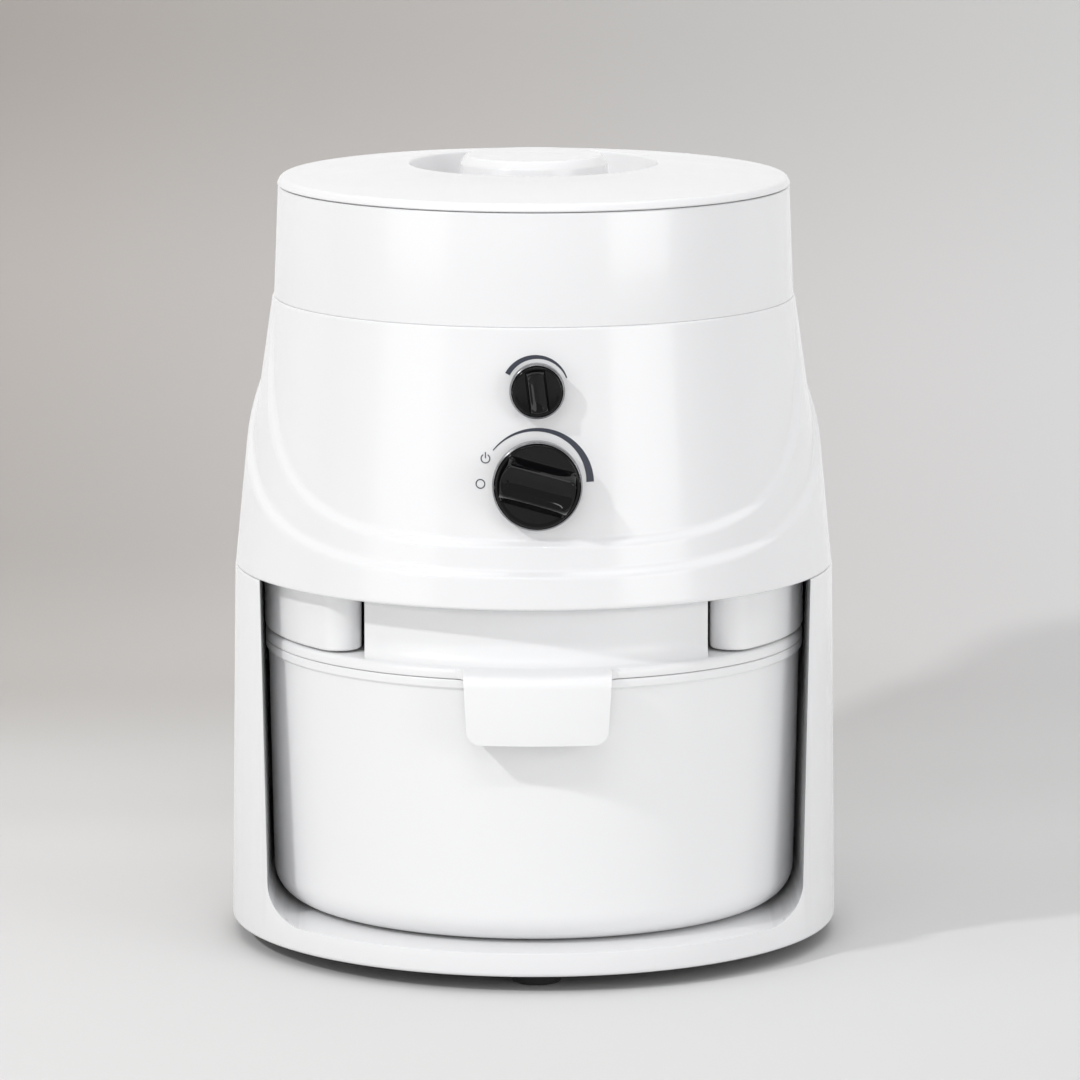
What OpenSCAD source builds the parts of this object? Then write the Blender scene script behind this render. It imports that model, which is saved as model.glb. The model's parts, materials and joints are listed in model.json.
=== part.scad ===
// Electric grain mill: hopper and milling head over a slide-out flour bowl.
// Millimetres. +Z up, front towards -Y, origin on the table under the centre.

/* [Base] */
// Outer diameter of the base at the table
base_d = 274; // [268:1:284]
// How much narrower the base frame is at its top
base_taper = 4.4; // [2:0.2:8]
// Height of the base frame, without the feet
frame_h = 162.2; // [159:0.2:171]
// Thickness of the moulded walls
wall = 3; // [2.4:0.1:3.4]
// Height of the tray's top above the bottom of the frame
tray_rise = 11.2; // [10:0.1:13]
// Gap beside the bowl's rim at the top of the front opening
opening_top_gap = 1.3; // [1.1:0.1:2.5]
// Gap beside the bowl's foot at the lower end of the front opening
opening_low_gap = 2; // [1.6:0.1:3]
// Radius of the lower corners of the front opening
opening_corner_r = 16; // [12:0.5:16]
// Thickness of the sides of the bowl's bay, behind the opening
bay_t = 2.5; // [2:0.1:3]
// Height of the rubber feet below the frame
foot_h = 7.3; // [6:0.1:12]
// Diameter of a rubber foot
foot_d = 22.5; // [18:0.5:26]
// Distance of a foot's centre from the base's edge
foot_inset = 26.25; // [22:0.25:36]

/* [Housing] */
// Height of the upper housing from the frame to the seam
housing_h = 121.3; // [120:0.1:124]
// Set-back of the housing from the base frame's top
housing_inset = 0.23; // [0:0.01:0.8]
// Widening of the housing per millimetre downwards
draft = 0.097; // [0.09:0.001:0.1]
// Depth of the upper swept ledge
upper_step = 2.7; // [2:0.1:3]
// Depth of the lower swept ledge
lower_step = 2.9; // [2:0.1:3]
// Height of the upper ledge at the front, above the frame
upper_ledge_h = 28.3; // [26:0.1:31]
// Height of the lower ledge at the front, above the frame
lower_ledge_h = 15.4; // [13:0.1:18]
// Number of air slots at the back
slot_count = 11; // [7:2:13]

/* [Hopper] */
// Height of the hopper ring above the seam
hopper_h = 49.6; // [46:0.2:54]
// Set-back of the hopper ring from the housing at the seam
hopper_inset = 0.6; // [0.2:0.1:1.2]
// How much narrower the hopper ring is at its rim
hopper_taper = 4; // [2:0.2:6]
// Thickness of the hopper wall
hopper_wall = 2.5; // [2:0.1:3]
// Inner diameter of the grain outlet
outlet_d = 24; // [20:0.5:25]

/* [Hopper lid] */
// Overhang of the lid over the hopper's rim
lid_overhang = 0.6; // [0.2:0.1:1.4]
// Rise of the lid from its edge to the lip of the finger well
lid_rise = 5.9; // [4:0.1:8]
// Diameter of the finger well
well_d = 112; // [100:1:120]
// Depth of the finger well
well_depth = 12; // [8:0.5:14]
// Diameter of the grip disc in the well
grip_d = 64.6; // [56:0.2:68]
// Height of the grip disc above the lip
grip_rise = 3.4; // [2:0.1:6]

/* [Flour bowl] */
// Distance of the bowl's rim from the outside of the base frame
bowl_inset = 13.6; // [13.2:0.1:15]
// How far the rim stands out from the bowl's wall
bead_out = 1.4; // [1:0.1:2]
// How much narrower the bowl is at its lower corner
bowl_taper = 4.4; // [3:0.2:8]
// Height of the bowl
bowl_h = 118.1; // [118:0.1:121]
// Radius of the bowl's lower corner
bowl_corner_r = 14; // [14:1:22]
// Thickness of the bowl and of its lid
bowl_wall = 2.5; // [2:0.1:3]
// Distance of the bowl's centre in front of the base centre
bowl_forward = 6; // [4:0.5:7]
// Thickness of the lid's flange
flange_h = 4.7; // [4:0.1:5]
// Width of the raised middle of the bowl lid
raised_w = 151; // [140:1:156]
// Set-back of the raised middle from the lid's edge
raised_inset = 8.2; // [7.8:0.1:12]

/* [Handle] */
// Width of the handle at its top
handle_w = 64.8; // [56:0.1:72]
// Width of the handle at its lower edge
handle_low_w = 61.1; // [52:0.1:66]
// Height of the handle
handle_h = 30.8; // [28:0.2:36]
// Reach of the handle in front of the bowl's rim
handle_reach = 14.8; // [13:0.1:18]

/* [Knobs] */
// Diameter of the feed knob with its ring
feed_knob_d = 39.2; // [36:0.2:41]
// Height of the feed knob's axis above the housing's lower edge
feed_axis_h = 54; // [52:0.5:56]
// Depth of the feed knob
feed_knob_depth = 13.4; // [11:0.1:16]
// Diameter of the motor knob with its ring
motor_knob_d = 24.1; // [22:0.1:26]
// Height of the motor knob's axis above the feed knob's axis
knob_spacing = 40.8; // [38:0.1:42]
// Depth of the motor knob
motor_knob_depth = 10.3; // [8:0.1:12]
// Diameter of the control shafts
shaft_d = 6; // [5:0.5:6.5]

/* [Feed gate] */
// Teeth of the gate's pinion
pinion_teeth = 18; // [17:1:19]
// Module of the gate's rack and pinion
gear_module = 1; // [0.9:0.05:1.1]
// Turn of the feed knob from off to full feed, in degrees
feed_turn = 171; // [150:1:175]

/* [Motor and mill] */
// Outer diameter of the motor's laminations
stator_d = 84; // [78:1:86]
// Height of the motor's laminations
stack_h = 24; // [20:0.5:24]
// Diameter of the armature
armature_d = 45.6; // [42:0.2:46.4]
// Diameter of the motor shaft
motor_shaft_d = 8; // [6:0.5:9]
// Outer diameter of the milling chamber
chamber_d = 116; // [112:1:118]
// Height of the milling chamber
chamber_h = 19; // [18:0.5:20]

/* [Hidden] */
$fn = 96;

// General clearances
cut = 1;            // how far a cutting shape runs past the face it cuts
seat = 0.05;        // between pieces that are seated in each other
running = 0.05;     // radial, between a shaft and its bearing
rest_gap = 0.3;     // between a piece and the seat it can leave
arc_steps = 6;      // straight steps in a rounded edge
curve_steps = 16;   // straight steps in a swept ledge

// Base
base_r = base_d / 2;
base_top_r = base_r - base_taper / 2;
foot_r = foot_d / 2;
foot_place = base_r - foot_inset;
tray_z = foot_h + tray_rise;
floor_z = foot_h + frame_h;
floor_top = floor_z + wall;
base_edge_r = 4;
plate_t = 2.5;
plate_z = foot_h + 1.5;
plate_gap = 0.6;
foot_stem_r = 3;
foot_stem_h = 3.2;
foot_angles = [0, 90, 180, 270];
plate_screw_place = base_r - 45;
plate_screw_angles = [45, 135, 225, 315];
small_screw_r = 1.5;
large_screw_r = 2;
boss_r = 4.8;
frame_boss_place = base_top_r - wall - 5.8;
frame_boss_h = 12.5;
frame_boss_angles = [25, 60, 120, 155];
housing_boss_h = 20;
head_h = 2.4;

// Housing
seam_z = floor_z + housing_h;
seam_r = base_top_r - housing_inset - upper_step - lower_step - draft * housing_h;
upper_ledge_z = floor_z + upper_ledge_h;
lower_ledge_z = floor_z + lower_ledge_h;
upper_ledge_y = -127;        // where the upper ledge is level
upper_ledge_a = 110;         // its quarter ellipse, along Y
upper_ledge_b = 112;         // and along Z
lower_ledge_y = -134;        // where the lower ledge is level
lower_ledge_k = 0.00255;     // its parabola's rise per square millimetre
fade_low_z = floor_z + 65;   // the upper ledge fades out from here
fade_top = 0.1;              // what is left of it at the seam
floor_lip = 1.4;             // housing wall left outside the floor plate
slot_w = 3;
slot_pitch = 7;
slot_h = 34;
slot_z = floor_z + 40;
inlet_z = floor_z + 16;
inlet_r = 7;
inlet_bore_r = 3.6;
inlet_collar_r = 9.5;
inlet_nut_t = 2.4;

// Hopper
rim_z = seam_z + hopper_h;
hopper_low_r = seam_r - hopper_inset;
hopper_rim_r = hopper_low_r - hopper_taper / 2;
hopper_in_r = hopper_rim_r - hopper_wall;
outlet_r = outlet_d / 2;
hopper_boss_place = seam_r - 12.2;
hopper_boss_angles = [90, 210, 330];
hopper_boss_split = 7;       // below the seam
hopper_boss_h = 14;

// Hopper lid
lid_r = hopper_rim_r + lid_overhang;
lid_gap = 0.8;               // shadow gap at the lid's edge
lid_edge_z = rim_z + lid_gap;
lid_edge_h = 3.2;
lid_edge_r = 2.4;
lid_t = 2.5;
lip_z = lid_edge_z + lid_edge_h + lid_rise;
well_r = well_d / 2;
grip_r = grip_d / 2;
grip_z = lip_z + grip_rise;
grip_dish = 1.5;
well_z = lip_z - well_depth;
well_draft = 1.4;
lid_skirt_h = 8;
lid_skirt_clear = 0.5;

// Flour bowl
bowl_y = -bowl_forward;
bowl_z = tray_z + 0.4;
rim_r = base_top_r - bowl_inset;
bowl_top_r = rim_r - bead_out;
bowl_low_r = bowl_top_r - bowl_taper / 2;
raised_r = rim_r - raised_inset;
bowl_rim_z = bowl_z + bowl_h;
bead_h = 3.3;
bead_slope = 1.5;
flange_z = bowl_rim_z + rest_gap;
flange_top = flange_z + flange_h;
flange_edge_r = 2.6;
raised_top = floor_z - 1.5;
raised_half = raised_w / 2;
raised_fillet = 5;
raised_edge_r = 4;
lid_skirt_in_r = bowl_top_r - bowl_wall - 5.2;
bowl_skirt_t = 2.3;
bowl_skirt_z = bowl_rim_z - 12;
gasket_h = 4;
gasket_gap = 0.2;            // between the gasket and the tapered bowl wall

// Handle
handle_r = rim_r + handle_reach;
handle_z = flange_top - handle_h;
handle_t = 3;
handle_corner_r = 6;
handle_edge_r = 4;

// Guide cheeks
cheek_gap = 1.5;
cheek_x = raised_half + cheek_gap;
cheek_r = rim_r + 0.3;
cheek_z = flange_top + 1;
cheek_edge_r = 10;
cheek_cross = 0.02;          // how far its circle runs past the outer one, so that they cross
cheek_t = 2.5;
cheek_opening_in = 1;         // floor left around the opening over each hollow cheek

// Separator cup and filter
cup_y = bowl_y - 34;
cup_r = 33;
cup_t = 2;
cup_h = 46.6;
cup_z = raised_top - bowl_wall - cup_h;
cup_slot_low = 8;
cup_slot_high = 14;
cup_slot_half = 5;
cup_flange_r = 37;
cup_slot_count = 8;
filter_t = 7;
vent_r = 30;
cap_bar = 2;

// Controls
feed_z = floor_z + feed_axis_h;
motor_knob_z = feed_z + knob_spacing;
feed_knob_r = feed_knob_d / 2;
motor_knob_r = motor_knob_d / 2;
knob_back_gap = 0.4;
ring_t = 1.1;
ring_h = 5.2;
shaft_r = shaft_d / 2;
feed_bar_w = 12;
feed_bar_angle = 164.5;      // at rest, from +X towards +Z
feed_face = 6.2;             // thickness of the knob's disc
mark_place = 14.4;
mark_angle = 170.4;
mark_r = 1.5;
motor_bar_w = 6.6;
motor_bar_angle = 97;
motor_face = 6.2;
socket_depth = 7.5;
bracket_y = -(seam_r - 5.2);
bracket_t = 1.5;
bracket_half = 30;
bracket_low = 20;            // below the feed axis
bracket_high = 7;            // above the motor knob's axis
bracket_boss_x = 25;
bush_r = 5.8;
bush_back = 2;
pot_bush_r = 4.5;
pot_r = 12;
pot_depth = 9;
switch_depth = 18;
switch_half = 18;
switch_half_h = 14;
switch_post_x = 13.5;
switch_post_drop = 10;
switch_post_r = 3;

// Feed gate
pitch_r = gear_module * pinion_teeth / 2;
pinion_y = bracket_y + 13;
pinion_w = 8;
gear_play = 0.06;            // per flank, along the pitch line
pressure = 20;
gate_travel = pitch_r * feed_turn * PI / 180;
gate_t = 3;
rack_side_gap = 0.5;
rack_back = 7;
gate_half = 17;
gate_hole_r = outlet_r;
gate_edge = 3.5;
gate_gap = 0.4;

// Motor and mill, upwards from the floor
mount_h = 4;
bracket_plate_t = 3;
carrier_r = 58;
bolt_place = 50;
bolt_r = 2;
bolt_angles = [45, 135, 225, 315];
spacer_r = 4;
ear_w = 9;
bearing_r = 11;
bearing_h = 7;
bearing_wall = 3;
motor_shaft_r = motor_shaft_d / 2;
lower_plate_z = floor_top + mount_h;
lower_bearing_z = lower_plate_z + 1.5;
commutator_z = lower_bearing_z + bearing_h + 2;
commutator_h = 10;
commutator_r = 11.5;
commutator_bars = 24;
brush_half = 3;
brush_len = 11;
holder_t = 1.2;
holder_in = commutator_r + 2.5;
holder_out = holder_in + 21;
stack_z = commutator_z + commutator_h + 3.5;
stack_top = stack_z + stack_h;
coil_rise = 4.5;
coil_drop = 3.9;             // below the laminations, clear of the brush holders
armature_r = armature_d / 2;
air_gap = 0.8;
stator_r = stator_d / 2;
yoke_r = stator_r - 9.6;
pole_angle = 56;
coil_angle = 72;
slot_bars = 12;
fan_z = stack_top + coil_rise + 1;
fan_r = 36;
fan_h = 7;
fan_blades = 12;
upper_plate_z = fan_z + fan_h + 1.5;
upper_bearing_z = upper_plate_z + 1;
mill_z = upper_bearing_z + bearing_h + 0.5;
chamber_r = chamber_d / 2;
chamber_wall = 3.5;
mill_floor_t = 3;
mill_top = mill_z + chamber_h;
lug_place = chamber_r + 3;
lug_r = 4.5;
lug_angles = [20, 160, 200, 340];
rotor_z = mill_z + mill_floor_t + 1.5;
rotor_t = 3;
tooth_t = 2.5;
tooth_gap = 1.2;
stator_plate_t = 3;
tooth_len = mill_top - stator_plate_t - rotor_z - rotor_t - 2 * tooth_gap;
ring_step = 6;
rotor_rings = [22, 34, 46];
cover_t = 3;
cover_top = mill_top + cover_t;
neck_top = cover_top + 3.5;
gate_z = neck_top + gate_gap;
outlet_z = gate_z + gate_t + gate_gap;
neck_r = outlet_r + 2.5;
funnel_z = outlet_z + 6;
funnel_top_z = rim_z - 8;
guide_t = 1.5;
shaft_top = rotor_z + rotor_t + 6;

// Flour chute
port_half = 14;
chute_half = 17;
chute_t = 2;
chute_back = rim_r - 25.2;
chute_front = chute_back - 28;
chute_top = mill_top - 0.5;
gasket_margin = 3;

// Terminal block, board and wires
block_holes = [30, 37, 44];
block_y = skin(floor_z) - 30;
block_w = 12;
block_h = 12;
board_x = seam_r - 31.2;
board_t = 1.6;
board_half = 32;
board_z = floor_z + 30;
board_h = 50;
board_post_inset = 5;
coil_y = -15;
coil_t = 14;
chip_y = 14;
chip_t = 3;
chip_high = 40;
wire_r = 1.3;
wire_bend = 0.6;             // how far each straight of a lead runs past its bend

// ---- Shapes that repeat ----

function lerp(a, b, t) = a + (b - a) * t;

function arc(centre, r, from, to) =
    [for (i = [0:arc_steps]) let (a = lerp(from, to, i / arc_steps)) centre + r * [cos(a), sin(a)]];

function frame_out(z) = lerp(base_r, base_top_r, (z - foot_h) / frame_h);

function skin(z) = seam_r + draft * (seam_z - z);

// A tube around Z
module tube(r, hole, z0, z1) {
    translate([0, 0, z0]) difference() {
        cylinder(r = r, h = z1 - z0);
        translate([0, 0, -cut]) cylinder(r = hole, h = z1 - z0 + 2 * cut);
    }
}

// A rod along Z
module rod(r, z0, z1) {
    translate([0, 0, z0]) cylinder(r = r, h = z1 - z0);
}

// A box between two corners
module box(low, high) {
    translate(low) cube(high - low);
}

// Extrudes an X-Z outline from y0 back to y1
module along_y(y0, y1) {
    translate([0, y1, 0]) rotate([90, 0, 0]) linear_extrude(y1 - y0) children();
}

// Extrudes a Y-Z outline from x0 to x1
module along_x(x0, x1) {
    translate([x0, 0, 0]) rotate([90, 0, 90]) linear_extrude(x1 - x0) children();
}

// Places children on a horizontal axis at height z, with their +Z towards the front
module facing_front(z) {
    translate([0, 0, z]) rotate([90, 0, 0]) children();
}

// Copies children around Z at the given angles
module around(angles, place) {
    for (a = angles) rotate([0, 0, a]) translate([place, 0, 0]) children();
}

// A wedge around +X, used to cut sectors
module wedge(half, r, z0, z1) {
    translate([0, 0, z0]) linear_extrude(z1 - z0)
        polygon(concat([[0, 0]], [for (i = [-2:2]) r * 1.5 * [cos(half * i / 2), sin(half * i / 2)]]));
}

// A screw that points up, with its head's upper face at z
module screw_up(r, z, len) {
    difference() {
        union() {
            rod(r, z - cut, z + len);
            rod(2 * r, z - head_h, z);
        }
        for (turn = [0, 90]) rotate([0, 0, turn])
            box([-1.3 * r, -0.3 * r, z - head_h - cut], [1.3 * r, 0.3 * r, z - head_h / 2]);
    }
}

// ---- Base ----

module base_plate_bosses() {
    around(plate_screw_angles, plate_screw_place) rod(boss_r, plate_z + plate_t, tray_z - wall + seat);
}

// A boss and its rib, to be clipped by the wall that it grows from
module wall_boss(place, reach, z0, z1) {
    translate([place, 0, 0]) rod(boss_r, z0, z1);
    box([place, -wall / 2, z0], [reach, wall / 2, z1]);
}

// Front outline of the bowl's bay, set out by a wall, up to the height top
module bay_outline(out, top) {
    half_top = rim_r + opening_top_gap + out;
    half_low = bowl_low_r + opening_low_gap - opening_corner_r;
    corner_z = tray_z + opening_corner_r;
    polygon(concat(
        [[half_top, top], [-half_top, top]],
        arc([-half_low, corner_z], opening_corner_r + out, 180, 270),
        arc([half_low, corner_z], opening_corner_r + out, 270, 360)));
}

// Sides of the bay, from the pillars back to the wall
module bay_sides() {
    intersection() {
        along_y(-base_r, base_r) difference() {
            bay_outline(bay_t, floor_z);
            bay_outline(0, floor_z + cut);
        }
        rotate_extrude() polygon([[0, tray_z - wall / 2], [frame_out(tray_z) - wall / 2, tray_z - wall / 2],
            [base_top_r - wall / 2, floor_z], [0, floor_z]]);
    }
}

module base_frame() {
    color("white") difference() {
        union() {
            rotate_extrude() polygon(concat(
                [[0, tray_z - wall], [0, tray_z], [frame_out(tray_z) - wall, tray_z],
                    [base_top_r - wall, floor_z], [base_top_r, floor_z]],
                arc([base_r - base_edge_r, foot_h + base_edge_r], base_edge_r, 0, -90),
                [[base_r - base_edge_r - seat, tray_z - wall]]));
            base_plate_bosses();
            for (a = frame_boss_angles) rotate([0, 0, a])
                wall_boss(frame_boss_place, base_top_r - wall / 2, floor_z - frame_boss_h, floor_z);
            bay_sides();
        }
        along_y(-base_r - cut, 0) bay_outline(0, floor_z + cut);
        around(frame_boss_angles, frame_boss_place)
            rod(large_screw_r + seat, floor_z - frame_boss_h - cut, floor_z + cut);
        around(plate_screw_angles, plate_screw_place)
            rod(small_screw_r + seat, plate_z, tray_z - wall / 2);
    }
}

module base_plate() {
    color("gainsboro") difference() {
        rod(base_r - base_edge_r - plate_gap, plate_z, plate_z + plate_t);
        around(plate_screw_angles, plate_screw_place)
            rod(small_screw_r + seat, plate_z - cut, plate_z + plate_t + cut);
        around(foot_angles, foot_place) rod(foot_stem_r + seat, plate_z - cut, plate_z + plate_t + cut);
    }
}

module rubber_feet() {
    color("dimgray") around(foot_angles, foot_place) union() {
        rotate_extrude() polygon(concat([[0, 0]], arc([foot_r - 2, 1.5], 1.5, -90, 0),
            [[foot_r, plate_z], [0, plate_z]]));
        rod(foot_stem_r, plate_z - cut, plate_z + foot_stem_h - 0.3);
    }
}

module base_screws() {
    color("silver") around(plate_screw_angles, plate_screw_place)
        intersection() {
            screw_up(small_screw_r, plate_z, 6);
            rod(boss_r, foot_h + 0.1, tray_z);
        }
}

// ---- Housing ----

// Outline of a skin, set out by a step that may fade towards the seam
module skin_outline(step, top_step, inset, shoulder) {
    polygon(concat(
        [[0, floor_z], [skin(floor_z) + step - inset, floor_z],
            [skin(fade_low_z) + step - inset, fade_low_z]],
        shoulder > 0
            ? arc([skin(seam_z - shoulder) + step - inset - shoulder, seam_z - shoulder - inset],
                shoulder, 0, 90)
            : [[skin(seam_z) + top_step - inset, seam_z]],
        [[0, shoulder > 0 ? seam_z - inset : seam_z]]));
}

// Side outline of everything behind and below the upper ledge
module upper_ledge_side(drop) {
    last = acos(1 - (seam_z - upper_ledge_z) / upper_ledge_b);
    polygon(concat(
        [[-base_r, floor_z - cut], [-base_r, upper_ledge_z - drop]],
        [for (i = [0:curve_steps]) let (a = last * i / curve_steps)
            [upper_ledge_y + upper_ledge_a * sin(a),
                upper_ledge_z - drop + upper_ledge_b * (1 - cos(a))]],
        [[base_r, seam_z - drop], [base_r, floor_z - cut]]));
}

// Side outline of everything behind and below the lower ledge
module lower_ledge_side(drop) {
    last = sqrt((seam_z - lower_ledge_z) / lower_ledge_k);
    polygon(concat(
        [[-base_r - cut, floor_z - cut], [-base_r - cut, lower_ledge_z - drop]],
        [for (i = [0:curve_steps]) let (y = last * i / curve_steps)
            [lower_ledge_y + y, lower_ledge_z - drop + lower_ledge_k * y * y]],
        [[base_r + cut, seam_z - drop], [base_r + cut, floor_z - cut]]));
}

// The housing's full body, or with an inset its hollow
module housing_body(inset) {
    both = upper_step + lower_step;
    rotate_extrude() skin_outline(0, 0, inset, 0);
    intersection() {
        rotate_extrude() skin_outline(upper_step, fade_top, inset, 0);
        along_x(-base_r, base_r) upper_ledge_side(inset);
    }
    intersection() {
        rotate_extrude() skin_outline(both, both, inset, both);
        along_x(-base_r, base_r) lower_ledge_side(inset);
    }
}

module housing_bosses() {
    for (a = frame_boss_angles) rotate([0, 0, a])
        wall_boss(frame_boss_place, base_r, floor_top, floor_top + housing_boss_h);
    for (a = hopper_boss_angles) rotate([0, 0, a])
        wall_boss(hopper_boss_place, base_r, seam_z - hopper_boss_split - hopper_boss_h,
            seam_z - hopper_boss_split);
    for (x = [-bracket_boss_x, bracket_boss_x])
        translate([x, 0, 0]) facing_front((feed_z + motor_knob_z) / 2) rod(boss_r, -bracket_y, base_r);
    for (y = [-board_half + board_post_inset, board_half - board_post_inset])
        for (z = [board_z + board_post_inset, board_z + board_h - board_post_inset])
            translate([-base_r, y, z]) rotate([0, 90, 0]) cylinder(r = 3.5, h = base_r - board_x - board_t);
}

module housing_floor_cut() {
    rod(skin(floor_z) + upper_step + lower_step - floor_lip + seat, floor_z - cut, floor_top + seat);
}

module upper_housing() {
    middle_z = (feed_z + motor_knob_z) / 2;
    color("white") difference() {
        union() {
            difference() {
                housing_body(0);
                difference() {
                    housing_body(wall);
                    rod(base_r, floor_z - 2 * cut, floor_z + cut / 2);
                }
                housing_floor_cut();
                rod(seam_r - wall, seam_z - 2 * wall, seam_z + cut);
            }
            intersection() {
                housing_body(wall / 2);
                housing_bosses();
            }
        }
        facing_front(feed_z) rod(bush_r + seat, -bracket_y + cut, base_r);
        facing_front(motor_knob_z) rod(pot_bush_r + seat, -bracket_y + cut, base_r);
        for (i = [0:slot_count - 1])
            translate([(i - (slot_count - 1) / 2) * slot_pitch, 0, 0])
                box([-slot_w / 2, chute_back + 4, slot_z], [slot_w / 2, base_r, slot_z + slot_h]);
        translate([0, 0, inlet_z]) rotate([-90, 0, 0])
            cylinder(r = inlet_r + seat, h = base_r);
        around(frame_boss_angles, frame_boss_place)
            rod(large_screw_r + seat, floor_top - cut, floor_top + housing_boss_h - 2);
        around(hopper_boss_angles, hopper_boss_place)
            rod(small_screw_r + seat, seam_z - hopper_boss_split - hopper_boss_h - cut,
                seam_z - hopper_boss_split + cut);
        for (x = [-bracket_boss_x, bracket_boss_x])
            translate([x, 0, 0]) facing_front(middle_z)
                rod(small_screw_r + seat, -bracket_y - cut, -bracket_y + 4);
    }
}

// Plan of one guide cheek, right of the bowl lid
module cheek_plan(inset) {
    r = cheek_r - inset;
    x = cheek_x + inset;
    edge = cheek_edge_r - inset;
    reach = r - edge + cheek_cross;
    y = -sqrt(reach * reach - (x + edge) * (x + edge));
    tip = [x + edge, y] * r / reach;
    difference() {
        intersection() {
            circle(r = r);
            translate([x, -r - cut]) square([r, 2 * r + 2 * cut]);
        }
        polygon([[x - cut, y], [x + edge, y], tip * 1.03, [x - cut, -r - cut]]);
    }
    translate([x + edge, y]) circle(r = edge);
}

module cheek() {
    translate([0, bowl_y, 0]) difference() {
        translate([0, 0, cheek_z]) linear_extrude(floor_z - cheek_z + cut) cheek_plan(0);
        translate([0, 0, cheek_z + cheek_t]) linear_extrude(floor_z - cheek_z + 2 * cut)
            cheek_plan(cheek_t);
    }
}

module housing_floor() {
    plate_r = skin(floor_z) + upper_step + lower_step - floor_lip;
    color("white") difference() {
        union() {
            rod(plate_r, floor_z, floor_top);
            intersection() {
                union() {
                    cheek();
                    mirror([1, 0, 0]) cheek();
                }
                rod(base_top_r - wall - 1, cheek_z, floor_top);
            }
        }
        translate([0, bowl_y, floor_z - cut]) for (side = [0, 1]) mirror([side, 0, 0])
            linear_extrude(wall + 2 * cut) cheek_plan(cheek_t + cheek_opening_in);
        around(frame_boss_angles, frame_boss_place)
            rod(large_screw_r + seat, floor_z - cut, floor_top + cut);
        box([-chute_half - seat, chute_front - seat, floor_z - cut],
            [chute_half + seat, chute_back + seat, floor_top + cut]);
    }
}

module housing_screws() {
    color("silver") around(frame_boss_angles, frame_boss_place)
        screw_up(large_screw_r, floor_z - frame_boss_h, frame_boss_h + wall + housing_boss_h - 4);
}

module cord_inlet() {
    both = upper_step + lower_step;
    back = -handle_front_y();
    outside = skin(inlet_z - inlet_collar_r) + both + seat;
    inside = skin(inlet_z + inlet_collar_r) + both - wall - rest_gap;
    color("dimgray") translate([0, 0, inlet_z]) rotate([-90, 0, 0]) difference() {
        union() {
            rod(inlet_r, inside - inlet_nut_t, back);
            rod(inlet_collar_r, outside, back - 1);
            rod(inlet_collar_r, inside - inlet_nut_t, inside);
        }
        rod(inlet_bore_r, inside - inlet_nut_t - cut, back + cut);
    }
}

// ---- Hopper and its lid ----

module hopper() {
    low_in = hopper_low_r - hopper_wall;
    color("white") difference() {
        union() {
            rotate_extrude() polygon([
                [low_in, seam_z], [hopper_low_r, seam_z], [hopper_rim_r, rim_z], [hopper_in_r, rim_z],
                [hopper_in_r, funnel_top_z], [outlet_r, funnel_z], [outlet_r, outlet_z],
                [outlet_r + hopper_wall, outlet_z], [outlet_r + hopper_wall, funnel_z - hopper_wall / 3],
                [hopper_in_r - hopper_wall / 2, funnel_top_z - hopper_wall]]);
            intersection() {
                around(hopper_boss_angles, hopper_boss_place)
                    rod(boss_r, seam_z - hopper_boss_split, funnel_top_z);
                rotate_extrude() polygon([[0, outlet_z], [hopper_in_r, outlet_z],
                    [hopper_in_r, funnel_top_z - hopper_wall / 2], [outlet_r, funnel_z - hopper_wall / 2],
                    [0, funnel_z]]);
            }
        }
        around(hopper_boss_angles, hopper_boss_place)
            rod(small_screw_r + seat, seam_z - hopper_boss_split - cut, seam_z + 6);
    }
}

module hopper_screws() {
    low = seam_z - hopper_boss_split - hopper_boss_h;
    color("silver") around(hopper_boss_angles, hopper_boss_place)
        screw_up(small_screw_r, low, hopper_boss_h + 10);
}

module hopper_lid() {
    top_z = lid_edge_z + lid_edge_h;
    in_r = hopper_in_r - lid_skirt_clear;
    color("white") rotate_extrude() polygon(concat(
        [[0, grip_z - grip_dish], [grip_r * 0.6, grip_z - grip_dish * 0.75], [grip_r - 1.2, grip_z],
            [grip_r, grip_z - 1.2], [grip_r + well_draft, well_z], [well_r - well_draft, well_z],
            [well_r - 0.6, lip_z - 0.8], [well_r, lip_z]],
        arc([lid_r - lid_edge_r, top_z - lid_edge_r], lid_edge_r, 82, 0),
        [[lid_r, lid_edge_z], [hopper_rim_r - 1, lid_edge_z], [hopper_rim_r - 1, rim_z + rest_gap],
            [in_r, rim_z + rest_gap], [in_r, rim_z - lid_skirt_h], [in_r - lid_t, rim_z - lid_skirt_h],
            [in_r - lid_t, top_z - lid_t], [well_r + lid_t - 0.6, lip_z - lid_t],
            [well_r - well_draft + lid_t, well_z - lid_t], [grip_r + well_draft - lid_t, well_z - lid_t],
            [grip_r - lid_t, grip_z - lid_t - 1.2], [0, grip_z - grip_dish - lid_t]]));
}

// ---- Flour bowl and its lid ----

module flour_bowl() {
    corner = [bowl_low_r - bowl_corner_r, bowl_z + bowl_corner_r];
    bead_z = bowl_rim_z - bead_h;
    color("white") translate([0, bowl_y, 0]) rotate_extrude() polygon(concat(
        [[0, bowl_z]],
        arc(corner, bowl_corner_r, -90, 0),
        [[bowl_top_r, bead_z - bead_slope], [rim_r, bead_z], [rim_r, bowl_rim_z],
            [bowl_top_r - bowl_wall, bowl_rim_z], [bowl_top_r - bowl_wall, bead_z - bead_slope]],
        arc(corner, bowl_corner_r - bowl_wall, 0, -90),
        [[0, bowl_z + bowl_wall]]));
}

// Plan of the raised middle of the bowl lid
module raised_plan(inset) {
    intersection() {
        circle(r = raised_r - inset);
        square([raised_w - 2 * inset, 2 * raised_r + 2], center = true);
    }
}

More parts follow.
